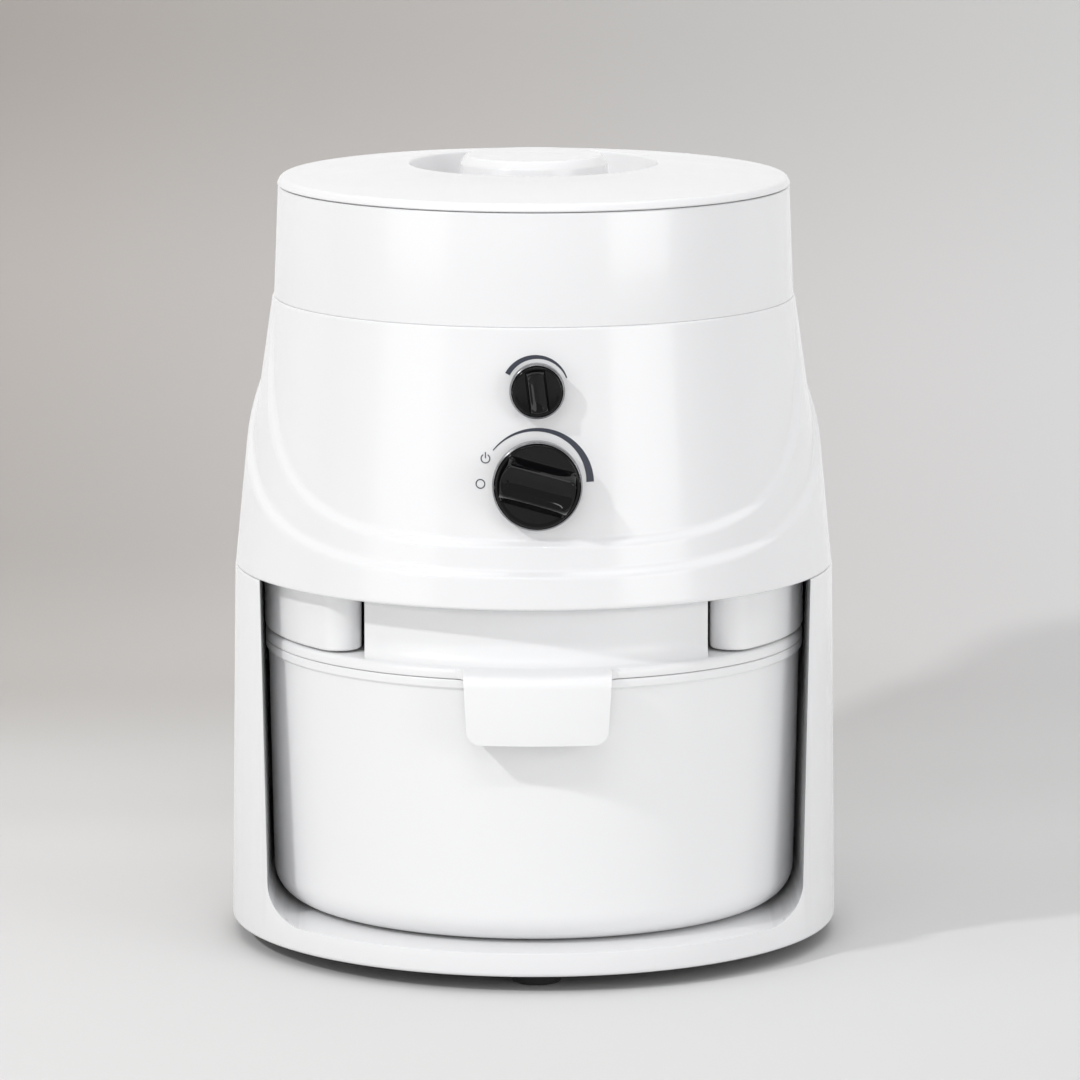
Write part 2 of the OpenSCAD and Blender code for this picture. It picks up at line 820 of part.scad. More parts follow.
// Front outline of the handle, open at the bottom when it is a hollow
module handle_front(inset) {
    r = handle_corner_r - inset;
    low = handle_z;
    half_low = handle_low_w / 2 - inset;
    half_top = handle_w / 2 - inset;
    polygon(concat([[half_top, flange_top - inset], [-half_top, flange_top - inset]],
        inset > 0
            ? [[-half_low, low - cut], [half_low, low - cut]]
            : concat(arc([-half_low + r, low + r], r, 180, 270), arc([half_low - r, low + r], r, 270, 360))));
}

module handle() {
    intersection() {
        difference() {
            rotate_extrude() polygon(concat(
                [[raised_r + 4, handle_z - 2 * cut], [raised_r + 4, flange_top]],
                arc([handle_r - handle_edge_r, flange_top - handle_edge_r], handle_edge_r, 90, 0),
                [[handle_r, handle_z - 2 * cut]]));
            rod(rim_r + cut, handle_z - 3 * cut, flange_z);
        }
        along_y(-2 * handle_r, 0) handle_front(0);
    }
}

module handle_hollow() {
    intersection() {
        rod(handle_r - handle_t, handle_z - 2 * cut, flange_top - handle_t);
        along_y(-2 * handle_r, 0) handle_front(handle_t);
        tube(handle_r, rim_r + cut / 2, handle_z - 2 * cut, flange_top);
    }
}

module bowl_lid() {
    skirt_r = lid_skirt_in_r + bowl_skirt_t;
    color("white") translate([0, bowl_y, 0]) difference() {
        union() {
            rotate_extrude() polygon(concat(
                [[0, flange_top - bowl_wall], [0, flange_top]],
                arc([rim_r - flange_edge_r, flange_top - flange_edge_r], flange_edge_r, 90, 0),
                [[rim_r, flange_z], [skirt_r, flange_z], [skirt_r, bowl_skirt_z],
                    [lid_skirt_in_r, bowl_skirt_z], [lid_skirt_in_r, flange_top - bowl_wall]]));
            intersection() {
                rotate_extrude() polygon(concat(
                    [[0, flange_z], [0, raised_top]],
                    arc([raised_r - raised_edge_r, raised_top - raised_edge_r], raised_edge_r, 90, 0),
                    arc([raised_r + raised_fillet, flange_top + raised_fillet], raised_fillet, 180, 270),
                    [[raised_r + raised_fillet, flange_z + bowl_wall]]));
                box([-raised_half, -rim_r, flange_top - bowl_wall], [raised_half, rim_r, raised_top]);
            }
            handle();
        }
        translate([0, 0, bowl_skirt_z]) linear_extrude(raised_top - bowl_wall - bowl_skirt_z)
            raised_plan(bowl_wall);
        handle_hollow();
        translate([0, cup_y - bowl_y, 0]) rod(vent_r, raised_top - 2 * bowl_wall, raised_top + cut);
        box([-port_half, chute_front + chute_t + 1 - bowl_y, raised_top - 2 * bowl_wall],
            [port_half, chute_back - chute_t - 1 - bowl_y, raised_top + cut]);
    }
}

module bowl_gasket() {
    in_r = lid_skirt_in_r + bowl_skirt_t + seat;
    low = bowl_skirt_z + 1.5;
    color("lightgray") translate([0, bowl_y, 0])
        tube(bowl_top_r - bowl_wall - gasket_gap, in_r, low, low + gasket_h);
}

module separator_cup() {
    top = raised_top - bowl_wall;
    color("lightgray") translate([0, cup_y, 0]) difference() {
        union() {
            rod(cup_r, cup_z, top);
            rod(cup_flange_r, top - cup_t, top);
        }
        rod(cup_r - cup_t, cup_z + cup_t, top + cut);
        for (i = [0:cup_slot_count - 1]) rotate([0, 0, i * 360 / cup_slot_count])
            box([cup_r - 2 * cup_t, -cup_slot_half, cup_z + cup_slot_low],
                [cup_r + cut, cup_slot_half, cup_z + cup_slot_high]);
    }
}

module air_filter() {
    top = raised_top - bowl_wall;
    color("dimgray") translate([0, cup_y, 0]) rod(cup_r - cup_t - seat, top - filter_t, top - seat);
}

module filter_cap() {
    color("white") translate([0, cup_y, 0]) difference() {
        rod(vent_r - seat, raised_top - bowl_wall, raised_top);
        for (x = [-20:5:20]) let (half = sqrt(pow(vent_r - 4, 2) - x * x))
            box([x - (5 - cap_bar) / 2, -half, raised_top - bowl_wall - cut],
                [x + (5 - cap_bar) / 2, half, raised_top + cut]);
    }
}

// ---- Controls ----

function handle_front_y() = bowl_y - handle_r;
function knob_back(z, r) = skin(z - r) + knob_back_gap;

// A knob on its axis: a disc with a grip bar across it
module knob(back, depth, r, face, bar_w, bar_angle) {
    in_r = r - ring_t - seat;
    difference() {
        union() {
            rotate_extrude() polygon([[0, back], [in_r, back], [in_r, back + face - 1.5],
                [in_r - 1.2, back + face], [0, back + face]]);
            intersection() {
                rotate_extrude() polygon([[0, back], [in_r - 0.4, back], [in_r - 1.4, back + depth - 1.2],
                    [in_r - 2.6, back + depth], [0, back + depth]]);
                rotate([0, 0, bar_angle])
                    box([-r, -bar_w / 2, back], [r, bar_w / 2, back + depth + cut]);
            }
        }
        rod(shaft_r + seat, back - cut, back + socket_depth);
    }
}

module knob_ring(back, r) {
    rotate_extrude() polygon([[r - ring_t, back], [r, back], [r, back + ring_h - 0.6],
        [r - 0.5, back + ring_h], [r - ring_t, back + ring_h]]);
}

module feed_knob() {
    back = knob_back(feed_z, feed_knob_r);
    color("black") facing_front(feed_z) difference() {
        knob(back, feed_knob_depth, feed_knob_r, feed_face, feed_bar_w, feed_bar_angle);
        translate([mark_place * cos(mark_angle), mark_place * sin(mark_angle), back + feed_knob_depth])
            sphere(r = mark_r);
    }
}

module feed_knob_ring() {
    color("silver") facing_front(feed_z) knob_ring(knob_back(feed_z, feed_knob_r), feed_knob_r);
}

module motor_knob() {
    color("black") facing_front(motor_knob_z)
        knob(knob_back(motor_knob_z, motor_knob_r), motor_knob_depth, motor_knob_r, motor_face,
            motor_bar_w, motor_bar_angle);
}

module motor_knob_ring() {
    color("silver") facing_front(motor_knob_z)
        knob_ring(knob_back(motor_knob_z, motor_knob_r), motor_knob_r);
}

module feed_shaft() {
    color("silver") facing_front(feed_z)
        rod(shaft_r, -pinion_y - pinion_w - 17, knob_back(feed_z, feed_knob_r) + socket_depth - 0.2);
}

module speed_shaft() {
    color("silver") facing_front(motor_knob_z)
        rod(shaft_r, -bracket_y - bracket_t - pot_depth + 1.5,
            knob_back(motor_knob_z, motor_knob_r) + socket_depth - 0.2);
}

module feed_bush() {
    color("tan") facing_front(feed_z)
        tube(bush_r, shaft_r + running, -bracket_y - bracket_t - bush_back, skin(feed_z) - 0.6);
}

module speed_control() {
    back = -bracket_y - bracket_t;
    color("seagreen") facing_front(motor_knob_z) difference() {
        union() {
            rod(pot_r, back - pot_depth, back);
            rod(pot_bush_r, back - cut, skin(motor_knob_z) - 0.6);
            box([-5, -pot_r - 4, back - 4], [5, 0, back - 2]);
        }
        rod(shaft_r + running, back - pot_depth + 1.2, base_r);
    }
}

module control_bracket() {
    middle_z = (feed_z + motor_knob_z) / 2;
    color("silver") difference() {
        box([-bracket_half, bracket_y, feed_z - bracket_low],
            [bracket_half, bracket_y + bracket_t, motor_knob_z + bracket_high]);
        facing_front(feed_z) rod(bush_r + seat, -bracket_y - 2 * cut - bracket_t, base_r);
        facing_front(motor_knob_z) rod(pot_bush_r + seat, -bracket_y - 2 * cut - bracket_t, base_r);
        for (x = [-bracket_boss_x, bracket_boss_x]) translate([x, 0, 0]) facing_front(middle_z)
            rod(small_screw_r + seat, -bracket_y - 2 * cut - bracket_t, base_r);
    }
}

module control_screws() {
    middle_z = (feed_z + motor_knob_z) / 2;
    color("silver") for (x = [-bracket_boss_x, bracket_boss_x])
        translate([x, 0, 0]) facing_front(middle_z)
            screw_up(small_screw_r, -bracket_y - bracket_t, 5);
}

module power_switch() {
    back = -pinion_y - pinion_w - 3;
    color("dimgray") facing_front(feed_z) difference() {
        union() {
            box([-switch_half, -switch_half_h, back - switch_depth],
                [switch_half, switch_half_h, back]);
            for (x = [-12, 0, 12]) box([x - 2.4, -switch_half_h - 6, back - switch_depth + 4],
                [x + 2.4, -switch_half_h, back - switch_depth + 5]);
        }
        rod(shaft_r + running, back - switch_depth + 2, back + cut);
    }
}

module switch_posts() {
    back = -pinion_y - pinion_w - 3;
    color("silver") facing_front(feed_z) for (x = [-switch_post_x, switch_post_x])
        translate([x, -switch_post_drop, 0]) rod(switch_post_r, back, -bracket_y - bracket_t);
}

module control_board() {
    posts_y = board_half - board_post_inset;
    color("darkgreen") difference() {
        union() {
            box([-board_x - board_t, -board_half, board_z], [-board_x, board_half, board_z + board_h]);
            box([-board_x - cut, coil_y - 9, board_z + 8], [-board_x + coil_t, coil_y + 9, board_z + 34]);
            box([-board_x - cut, chip_y - 10, board_z + 12],
                [-board_x + chip_t, chip_y + 10, board_z + chip_high]);
            for (y = [-2, 4]) translate([-board_x - cut, y, board_z + 5]) rotate([0, 90, 0])
                cylinder(r = 2.4, h = 9);
        }
        for (y = [-posts_y, posts_y])
            for (z = [board_z + board_post_inset, board_z + board_h - board_post_inset])
                translate([-board_x - 2 * cut, y, z]) rotate([0, 90, 0]) cylinder(r = 1.6, h = 6);
    }
}

module terminal_block() {
    color("ivory") difference() {
        box([block_holes[0] - 7, block_y, floor_top],
            [block_holes[2] + 7, block_y + block_w, floor_top + block_h]);
        for (x = block_holes) translate([x, block_y + block_w / 2, 0])
            rod(1, floor_top + 4, floor_top + block_h + cut);
    }
}

// ---- Feed gate ----

// One involute flank of a gear tooth at radius r, as an angle from the tooth's middle
function flank(r) = let (base = pitch_r * cos(pressure), a = acos(min(1, base / r)))
    90 / pinion_teeth + (tan(pressure) - tan(a)) * 180 / PI - pressure + a
        - gear_play / pitch_r * 180 / PI;

module pinion_outline() {
    base = pitch_r * cos(pressure);
    tip = pitch_r + gear_module;
    root = pitch_r - 1.25 * gear_module;
    radii = [for (i = [0:4]) lerp(base, tip, i / 4)];
    polygon([for (k = [0:pinion_teeth - 1]) let (middle = k * 360 / pinion_teeth)
        for (p = concat([[root, flank(base)]], [for (r = radii) [r, flank(r)]],
            [for (i = [4:-1:0]) [radii[i], -flank(radii[i])]], [[root, -flank(base)]]))
            p[0] * [cos(middle - p[1]), sin(middle - p[1])]]);
}

module feed_pinion() {
    color("ivory") facing_front(feed_z) difference() {
        translate([0, 0, -pinion_y - pinion_w]) linear_extrude(pinion_w) pinion_outline();
        rod(shaft_r + seat / 2, -pinion_y - pinion_w - cut, -pinion_y + cut);
    }
}

// Rack teeth in the X-Z plane, with the pitch line at height z
module rack_outline(z, first, last) {
    pitch = PI * gear_module;
    depth = 1.25 * gear_module;
    for (k = [first:last]) let (x = k * pitch, half = pitch / 4 - gear_play)
        polygon([[x - half - depth * tan(pressure), z + depth],
            [x - half + gear_module * tan(pressure), z - gear_module],
            [x + half - gear_module * tan(pressure), z - gear_module],
            [x + half + depth * tan(pressure), z + depth]]);
}

module feed_gate() {
    z = feed_z + pitch_r;
    last = -floor(-6 / (PI * gear_module));
    first = -ceil((gate_travel + 6) / (PI * gear_module));
    low_x = (first - 0.5) * PI * gear_module;
    high_x = (last + 0.5) * PI * gear_module;
    rack_low = pinion_y + rack_side_gap;
    rack_high = pinion_y + pinion_w - rack_side_gap;
    web_x = -gate_travel - 3;
    plate_low = -gate_travel - gate_hole_r - gate_edge;
    plate_high = gate_hole_r + gate_edge;
    color("ivory") difference() {
        union() {
            along_y(rack_low, rack_high) union() {
                rack_outline(z, first, last);
                translate([low_x, z + 1.25 * gear_module - 0.01])
                    square([high_x - low_x, rack_back - 1.25 * gear_module]);
            }
            box([web_x, rack_low, z + rack_back - 1], [web_x + 20, rack_high, gate_z + gate_t]);
            box([web_x, rack_low, gate_z], [web_x + 20, -gate_half + cut, gate_z + gate_t]);
            box([plate_low, -gate_half + running, gate_z],
                [plate_high, gate_half - running, gate_z + gate_t]);
        }
        translate([-gate_travel, 0, 0]) rod(gate_hole_r, gate_z - cut, gate_z + gate_t + cut);
    }
}

module gate_guide() {
    half_x = gate_travel + gate_hole_r + gate_edge + 4;
    rail = gate_half + 3;
    web_low = -gate_travel - 4;
    color("lightgray") difference() {
        box([-half_x, -rail, cover_top], [half_x, rail, gate_z + gate_t]);
        box([-half_x - cut, -gate_half, gate_z - rest_gap], [half_x + cut, gate_half, gate_z + gate_t + cut]);
        box([-half_x - cut, -gate_half + 3, cover_top + guide_t],
            [half_x + cut, gate_half - 3, gate_z]);
        box([web_low, -rail - cut, gate_z - rest_gap],
            [-web_low - 8, -gate_half + cut, gate_z + gate_t + cut]);
        rod(neck_r + seat, cover_top - cut, gate_z);
    }
}

// ---- Milling head ----

module tooth_ring(r, z0, z1) {
    count = floor(r / 1.9);
    around([for (i = [0:count - 1]) i * 360 / count], r)
        box([-tooth_t / 2, -1.7, z0], [tooth_t / 2, 1.7, z1]);
}

module mill_housing() {
    in_r = chamber_r - chamber_wall;
    ring_r = bolt_place + spacer_r;
    color("silver") difference() {
        union() {
            rod(chamber_r, mill_z, mill_top);
            tube(ring_r, bolt_place - spacer_r, upper_plate_z + bracket_plate_t, mill_z + cut);
            around(lug_angles, lug_place) rod(lug_r, mill_z + 6, mill_top);
        }
        rod(in_r, mill_z + mill_floor_t, mill_top + cut);
        rod(motor_shaft_r + 0.6, mill_z - cut, mill_top);
        box([-port_half, 0, mill_z + mill_floor_t], [port_half, base_r, mill_top - 3]);
        around(lug_angles, lug_place) rod(small_screw_r + seat, mill_top - 9, mill_top + cut);
        around(bolt_angles, bolt_place)
            rod(bolt_r + seat, upper_plate_z, upper_plate_z + bracket_plate_t + 4);
    }
}

module mill_cover() {
    color("silver") difference() {
        union() {
            rod(chamber_r, mill_top, cover_top);
            rod(neck_r, cover_top - cut, neck_top);
            around(lug_angles, lug_place) rod(lug_r, mill_top, cover_top);
        }
        rod(outlet_r, mill_top - cut, neck_top + cut);
        around(lug_angles, lug_place) rod(small_screw_r + seat, mill_top - cut, cover_top + cut);
    }
}

module mill_screws() {
    color("dimgray") around(lug_angles, lug_place)
        mirror([0, 0, 1]) screw_up(small_screw_r, -cover_top, cover_t + 7);
}

module fixed_burr() {
    plate_low = mill_top - stator_plate_t;
    color("lightsteelblue") difference() {
        union() {
            rod(chamber_r - chamber_wall - seat, plate_low, mill_top);
            for (r = rotor_rings) tooth_ring(r + ring_step, plate_low - tooth_len, plate_low + cut);
        }
        rod(outlet_r, plate_low - cut, mill_top + cut);
    }
}

module rotor_burr() {
    top = rotor_z + rotor_t;
    color("lightsteelblue") difference() {
        union() {
            rod(rotor_rings[2] + 2, rotor_z, top);
            rod(motor_shaft_r + 4, rotor_z - 0.8, top);
            for (r = rotor_rings) tooth_ring(r, top - cut, top + tooth_len);
        }
        rod(motor_shaft_r + seat, rotor_z - cut, top + cut);
    }
}

module burr_nut() {
    color("silver") difference() {
        translate([0, 0, rotor_z + rotor_t]) cylinder(r = motor_shaft_r + 3, h = 4, $fn = 6);
        rod(motor_shaft_r + seat, rotor_z + rotor_t - cut, rotor_z + rotor_t + 4 + cut);
    }
}

// ---- Motor ----

module motor_mounts() {
    color("dimgray") around(bolt_angles, bolt_place) difference() {
        rod(6, floor_top, lower_plate_z);
        rod(bolt_r + 1.5, lower_plate_z - 2.5, lower_plate_z + cut);
    }
}

module lower_bracket() {
    color("silver") difference() {
        union() {
            difference() {
                rod(carrier_r, lower_plate_z, lower_plate_z + bracket_plate_t);
                for (a = [90, 270]) rotate([0, 0, a]) translate([34, 0, 0])
                    rod(10, lower_plate_z - cut, lower_plate_z + bracket_plate_t + cut);
            }
            rod(bearing_r + bearing_wall, lower_plate_z, lower_bearing_z + bearing_h);
            for (side = [-1, 1]) translate([side * 27, 0, 0])
                box([-6, -5, lower_plate_z], [6, 5, commutator_z + 0.8]);
        }
        rod(bearing_r + seat, lower_bearing_z, lower_bearing_z + bearing_h + cut);
        around(bolt_angles, bolt_place)
            rod(bolt_r + seat, lower_plate_z - cut, lower_plate_z + bracket_plate_t + cut);
    }
}

module upper_bracket() {
    color("silver") difference() {
        union() {
            rod(carrier_r, upper_plate_z, upper_plate_z + bracket_plate_t);
            rod(bearing_r + bearing_wall, upper_plate_z, upper_bearing_z + bearing_h);
        }
        rod(bearing_r + seat, upper_bearing_z, upper_bearing_z + bearing_h + cut);
        rod(motor_shaft_r + 3, upper_plate_z - cut, upper_bearing_z + cut);
        for (a = [0:45:315]) rotate([0, 0, a]) translate([28, 0, 0])
            rod(7, upper_plate_z - cut, upper_plate_z + bracket_plate_t + cut);
        around(bolt_angles, bolt_place)
            rod(bolt_r + seat, upper_plate_z - cut, upper_plate_z + bracket_plate_t + cut);
    }
}

module motor_bolts() {
    color("silver") around(bolt_angles, bolt_place)
        screw_up_small(bolt_r, lower_plate_z, upper_plate_z + bracket_plate_t + 3.5 - lower_plate_z);
}

// A bolt whose low head fits in a rubber mount
module screw_up_small(r, z, len) {
    rod(r, z - cut, z + len);
    rod(r + 1.2, z - 2, z);
}

module motor_spacers() {
    color("gainsboro") around(bolt_angles, bolt_place) {
        tube(spacer_r, bolt_r + seat, lower_plate_z + bracket_plate_t, stack_z);
        tube(spacer_r, bolt_r + seat, stack_top, upper_plate_z);
    }
}

module motor_stator() {
    pole_r = armature_r + air_gap;
    color("slategray") difference() {
        union() {
            tube(stator_r, yoke_r, stack_z, stack_top);
            for (side = [0, 180]) rotate([0, 0, side]) intersection() {
                tube(yoke_r + cut, pole_r, stack_z, stack_top);
                wedge(pole_angle, stator_r, stack_z, stack_top);
            }
            for (a = bolt_angles) rotate([0, 0, a])
                box([yoke_r + 2, -ear_w / 2, stack_z], [bolt_place + ear_w / 2, ear_w / 2, stack_top]);
        }
        around(bolt_angles, bolt_place) rod(bolt_r + seat, stack_z - cut, stack_top + cut);
    }
}

module field_windings() {
    in_r = armature_r + air_gap + 0.6;
    low = stack_z - coil_drop;
    high = stack_top + coil_rise;
    color("peru") for (side = [0, 180]) rotate([0, 0, side]) difference() {
        intersection() {
            tube(yoke_r - seat, in_r, low, high);
            wedge(coil_angle, stator_r, low, high);
        }
        wedge(pole_angle + 0.4, stator_r, stack_z - seat, stack_top + seat);
    }
}

module bearing(z) {
    rotate_extrude() polygon([[motor_shaft_r + running / 2, z], [bearing_r, z],
        [bearing_r, z + bearing_h], [bearing_r - 2.4, z + bearing_h],
        [bearing_r - 2.4, z + bearing_h - 0.6], [motor_shaft_r + 2, z + bearing_h - 0.6],
        [motor_shaft_r + 2, z + bearing_h], [motor_shaft_r + running / 2, z + bearing_h]]);
}

module lower_bearing() {
    color("silver") bearing(lower_bearing_z);
}

module upper_bearing() {
    color("silver") bearing(upper_bearing_z);
}

module brush_holders() {
    z = commutator_z + commutator_h / 2;
    half = brush_half + 0.2;
    outer = half + holder_t;
    color("goldenrod") for (side = [0, 180]) rotate([0, 0, side]) difference() {
        box([holder_in, -outer, z - outer + 0.2], [holder_out, outer, z + outer]);
        box([holder_in - cut, -half, z - half], [holder_out - holder_t, half, z + half]);
    }
}

module carbon_brushes() {
    z = commutator_z + commutator_h / 2;
    start = commutator_r + rest_gap;
    color("darkslategray") for (side = [0, 180]) rotate([0, 0, side])
        box([start, -brush_half, z - brush_half], [start + brush_len, brush_half, z + brush_half]);
}

module brush_springs() {
    z = commutator_z + commutator_h / 2;
    start = commutator_r + rest_gap + brush_len;
    turns = 5;
    step = (holder_out - holder_t - start) / turns;
    color("silver") for (side = [0, 180]) rotate([0, 0, side])
        translate([start, 0, z]) rotate([0, 90, 0]) union() {
            for (i = [0:turns - 1]) translate([0, 0, (i + 0.5) * step])
                tube(2.6, 1.8, -0.4, 0.4);
            translate([2.2, 0, 0]) rod(0.4, 0, turns * step);
        }
}

module motor_shaft() {
    color("silver") rod(motor_shaft_r, lower_bearing_z + 0.3, shaft_top);
}

module armature_core() {
    color("slategray") difference() {
        tube(armature_r, motor_shaft_r + seat, stack_z, stack_top);
        around([for (i = [0:slot_bars - 1]) i * 360 / slot_bars], armature_r - 3.4)
            rod(2, stack_z - cut, stack_top + cut);
    }
}

module armature_windings() {
    out_r = armature_r - 1.6;
    color("peru") union() {
        for (z = [stack_z - 2.8, stack_top + seat]) tube(out_r, motor_shaft_r + 1.5, z, z + 2.75);
        around([for (i = [0:slot_bars - 1]) i * 360 / slot_bars], armature_r - 3.4)
            rod(1.4, stack_z - 1, stack_top + 1);
    }
}

module commutator() {
    color("peru") difference() {
        tube(commutator_r, motor_shaft_r + seat, commutator_z, commutator_z + commutator_h);
        for (i = [0:commutator_bars - 1]) rotate([0, 0, i * 360 / commutator_bars])
            box([commutator_r - 0.8, -0.25, commutator_z - cut],
                [commutator_r + cut, 0.25, commutator_z + commutator_h - 2]);
    }
}

module cooling_fan() {
    color("dimgray") difference() {
        union() {
            rod(fan_r, fan_z, fan_z + 1.5);
            rod(motor_shaft_r + 3, fan_z, fan_z + fan_h);
            around([for (i = [0:fan_blades - 1]) i * 360 / fan_blades], 14)
                box([0, -0.8, fan_z + 1], [fan_r - 15, 0.8, fan_z + fan_h]);
        }
        rod(motor_shaft_r + seat, fan_z - cut, fan_z + fan_h + cut);
    }
}

// ---- Flour chute ----

module flour_chute() {
    top_low = mill_z + 1;
    color("gainsboro") difference() {
        union() {
            box([-chute_half, chamber_r - 8, top_low], [chute_half, chute_back, chute_top]);
            box([-chute_half, chute_front, floor_z], [chute_half, chute_back, chute_top]);
        }
        box([-chute_half + chute_t, 0, top_low + chute_t],
            [chute_half - chute_t, chute_back - chute_t, chute_top - chute_t]);
        box([-chute_half + chute_t, chute_front + chute_t, floor_z - cut],
            [chute_half - chute_t, chute_back - chute_t, chute_top - chute_t]);
        rod(chamber_r + seat, mill_z - cut, mill_top + cut);
    }
}

module chute_gasket() {
    color("dimgray") difference() {
        box([-chute_half - gasket_margin, chute_front - gasket_margin, raised_top + rest_gap],
            [chute_half + gasket_margin, chute_back + gasket_margin, floor_z]);
        box([-chute_half + chute_t, chute_front + chute_t, raised_top],
            [chute_half - chute_t, chute_back - chute_t, floor_z + cut]);
    }
}

// ---- Wiring ----

// A lead through the given points
module lead(points) {
    last = len(points) - 2;
    for (i = [0:last])
        let (d = points[i + 1] - points[i], flat = norm([d[0], d[1]]),
            before = i > 0 ? wire_bend : 0, after = i < last ? wire_bend : 0)
            translate(points[i]) rotate([0, atan2(flat, d[2]), atan2(d[1], d[0])])
                translate([0, 0, -before])
                    cylinder(r = wire_r, h = norm(d) + before + after, $fn = 8);
}

module wiring() {
    block_top = floor_top + block_h;
    block_mid = block_y + block_w / 2;
    switch_y = pinion_y + pinion_w + 3 + switch_depth - 4.5;
    switch_low = feed_z - switch_half_h - 6;
    side_x = board_x - 12;
    board_top = board_z + board_h + 4;
    chip_x = -board_x + chip_t / 2;
    holder_z = commutator_z + commutator_h / 2;
    color("firebrick") {
        lead([[block_holes[2], block_mid, block_top], [block_holes[2], block_mid, block_top + 10],
            [side_x, bolt_place + 10, block_top + 20], [side_x, -bolt_place - 12, block_top + 20],
            [12, switch_y, switch_low - 8], [12, switch_y, switch_low - seat]]);
        lead([[block_holes[0], block_mid, block_top], [block_holes[0], block_mid, block_top + 12],
            [-bolt_place - 6, chute_back + 8, block_top + 12],
            [chip_x + 1.5, bolt_place + 16, board_top], [chip_x, chip_y, board_top],
            [chip_x, chip_y, board_z + chip_high + seat]]);
        lead([[-board_x + coil_t + seat, coil_y, board_z + 12], [-board_x + coil_t + 5, coil_y, board_z + 12],
            [-board_x + coil_t + 10, coil_y + 1, board_z + 6],
            [-holder_out - 8, 0, holder_z], [-holder_out - seat, 0, holder_z]]);
    }
}

base_frame();
base_plate();
rubber_feet();
base_screws();
upper_housing();
housing_floor();
housing_screws();
hopper();
hopper_screws();
cord_inlet();
terminal_block();
control_bracket();
control_screws();
feed_bush();
speed_control();
power_switch();
switch_posts();
control_board();
wiring();
motor_mounts();
lower_bracket();
upper_bracket();
motor_bolts();
motor_spacers();
motor_stator();
field_windings();
lower_bearing();
upper_bearing();
brush_holders();
carbon_brushes();
brush_springs();
mill_housing();
mill_cover();
mill_screws();
fixed_burr();
gate_guide();
flour_chute();
chute_gasket();
motor_shaft();
armature_core();
armature_windings();
commutator();
cooling_fan();
rotor_burr();
burr_nut();
hopper_lid();
flour_bowl();
bowl_lid();
bowl_gasket();
separator_cup();
air_filter();
filter_cap();
feed_knob();
feed_knob_ring();
feed_shaft();
feed_pinion();
feed_gate();
motor_knob();
motor_knob_ring();
speed_shaft();
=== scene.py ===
import bmesh
import bpy
import json
import math
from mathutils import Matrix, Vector


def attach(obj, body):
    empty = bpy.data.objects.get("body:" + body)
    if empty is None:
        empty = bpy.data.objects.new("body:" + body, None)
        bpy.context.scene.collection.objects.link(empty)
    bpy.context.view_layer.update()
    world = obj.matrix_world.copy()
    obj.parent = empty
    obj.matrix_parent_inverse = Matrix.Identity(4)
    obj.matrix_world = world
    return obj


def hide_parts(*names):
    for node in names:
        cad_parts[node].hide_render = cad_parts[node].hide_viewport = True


# Dresses the electric grain mill: its outer shells, bowl, handle, knobs and printed marks are
# modelled here, and the pieces inside it keep their solids and get their materials.

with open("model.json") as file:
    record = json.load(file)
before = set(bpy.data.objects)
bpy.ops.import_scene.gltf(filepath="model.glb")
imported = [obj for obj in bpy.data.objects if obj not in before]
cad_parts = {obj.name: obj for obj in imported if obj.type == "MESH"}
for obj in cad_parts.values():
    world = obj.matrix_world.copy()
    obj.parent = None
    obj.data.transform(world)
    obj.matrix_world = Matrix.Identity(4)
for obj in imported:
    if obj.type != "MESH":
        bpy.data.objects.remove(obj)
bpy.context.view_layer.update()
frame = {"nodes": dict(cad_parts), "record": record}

# Sizes are in millimetres here, and turned to metres when a mesh is made.
MM = 0.001

# Levels, from the base up
FOOT_Z, TRAY_Z = 7.3, 18.5
FLOOR_Z, FLOOR_TOP = 169.5, 172.5
SEAM_Z, RIM_Z = 290.8, 340.4

# Base and the bowl's bay in it
BASE_R, BASE_TOP_R = 137.0, 134.8
WALL, BAY_WALL = 3.0, 2.5
BAY_HALF_TOP, BAY_HALF_LOW, BAY_CORNER_R = 122.5, 119.6, 16
BAY_SINK = 0.3

# Housing: a drafted skin with two swept ledges on it
SEAM_R, DRAFT = 117.2, 0.097
UPPER_STEP, LOWER_STEP, LEDGE_SOFT = 2.7, 2.9, 2.1
UPPER_Y, UPPER_Z, UPPER_HALF_Y, UPPER_HALF_Z, UPPER_FADE_Z = -127, 309.8, 110, 112, 234.5
LOWER_Y, LOWER_Z, LOWER_BEND = -134, 184.9, 0.00255
SLOT_LOW, SLOT_HIGH, SLOT_HALF, SLOT_PITCH = 209.5, 243.5, 1.5, 7
SHAFT_HOLE_R, INLET_R, INLET_Z = 5, 7.2, 185.5

# Flour bowl, its lid and the guide cheeks
BOWL_Y, BOWL_Z, BOWL_RIM_Z = -6.0, 18.9, 137.0
BOWL_FLOOR, BOWL_STEP_Z = 21.4, 132.4
RIM_R, FLANGE_Z, FLANGE_TOP, RAISED_TOP = 121.2, 137.3, 142.0, 168.0
LID_T = 2.5
CHEEK_X, CHEEK_R = 77.0, 121.5
HANDLE_LOW, HANDLE_R, HANDLE_GAP_R = FLANGE_TOP - 30.8, 136.0, RIM_R + 1
REACH = 160

# Knobs
FEED_Z, MOTOR_Z = 223.5, 264.3
FEED_R, MOTOR_R = 19.6, 12.05
KNOB_FACE, KNOB_GAP, RING_H, RING_T = 6.2, 0.4, 5.2, 1.1


# ---- Mesh helpers ----

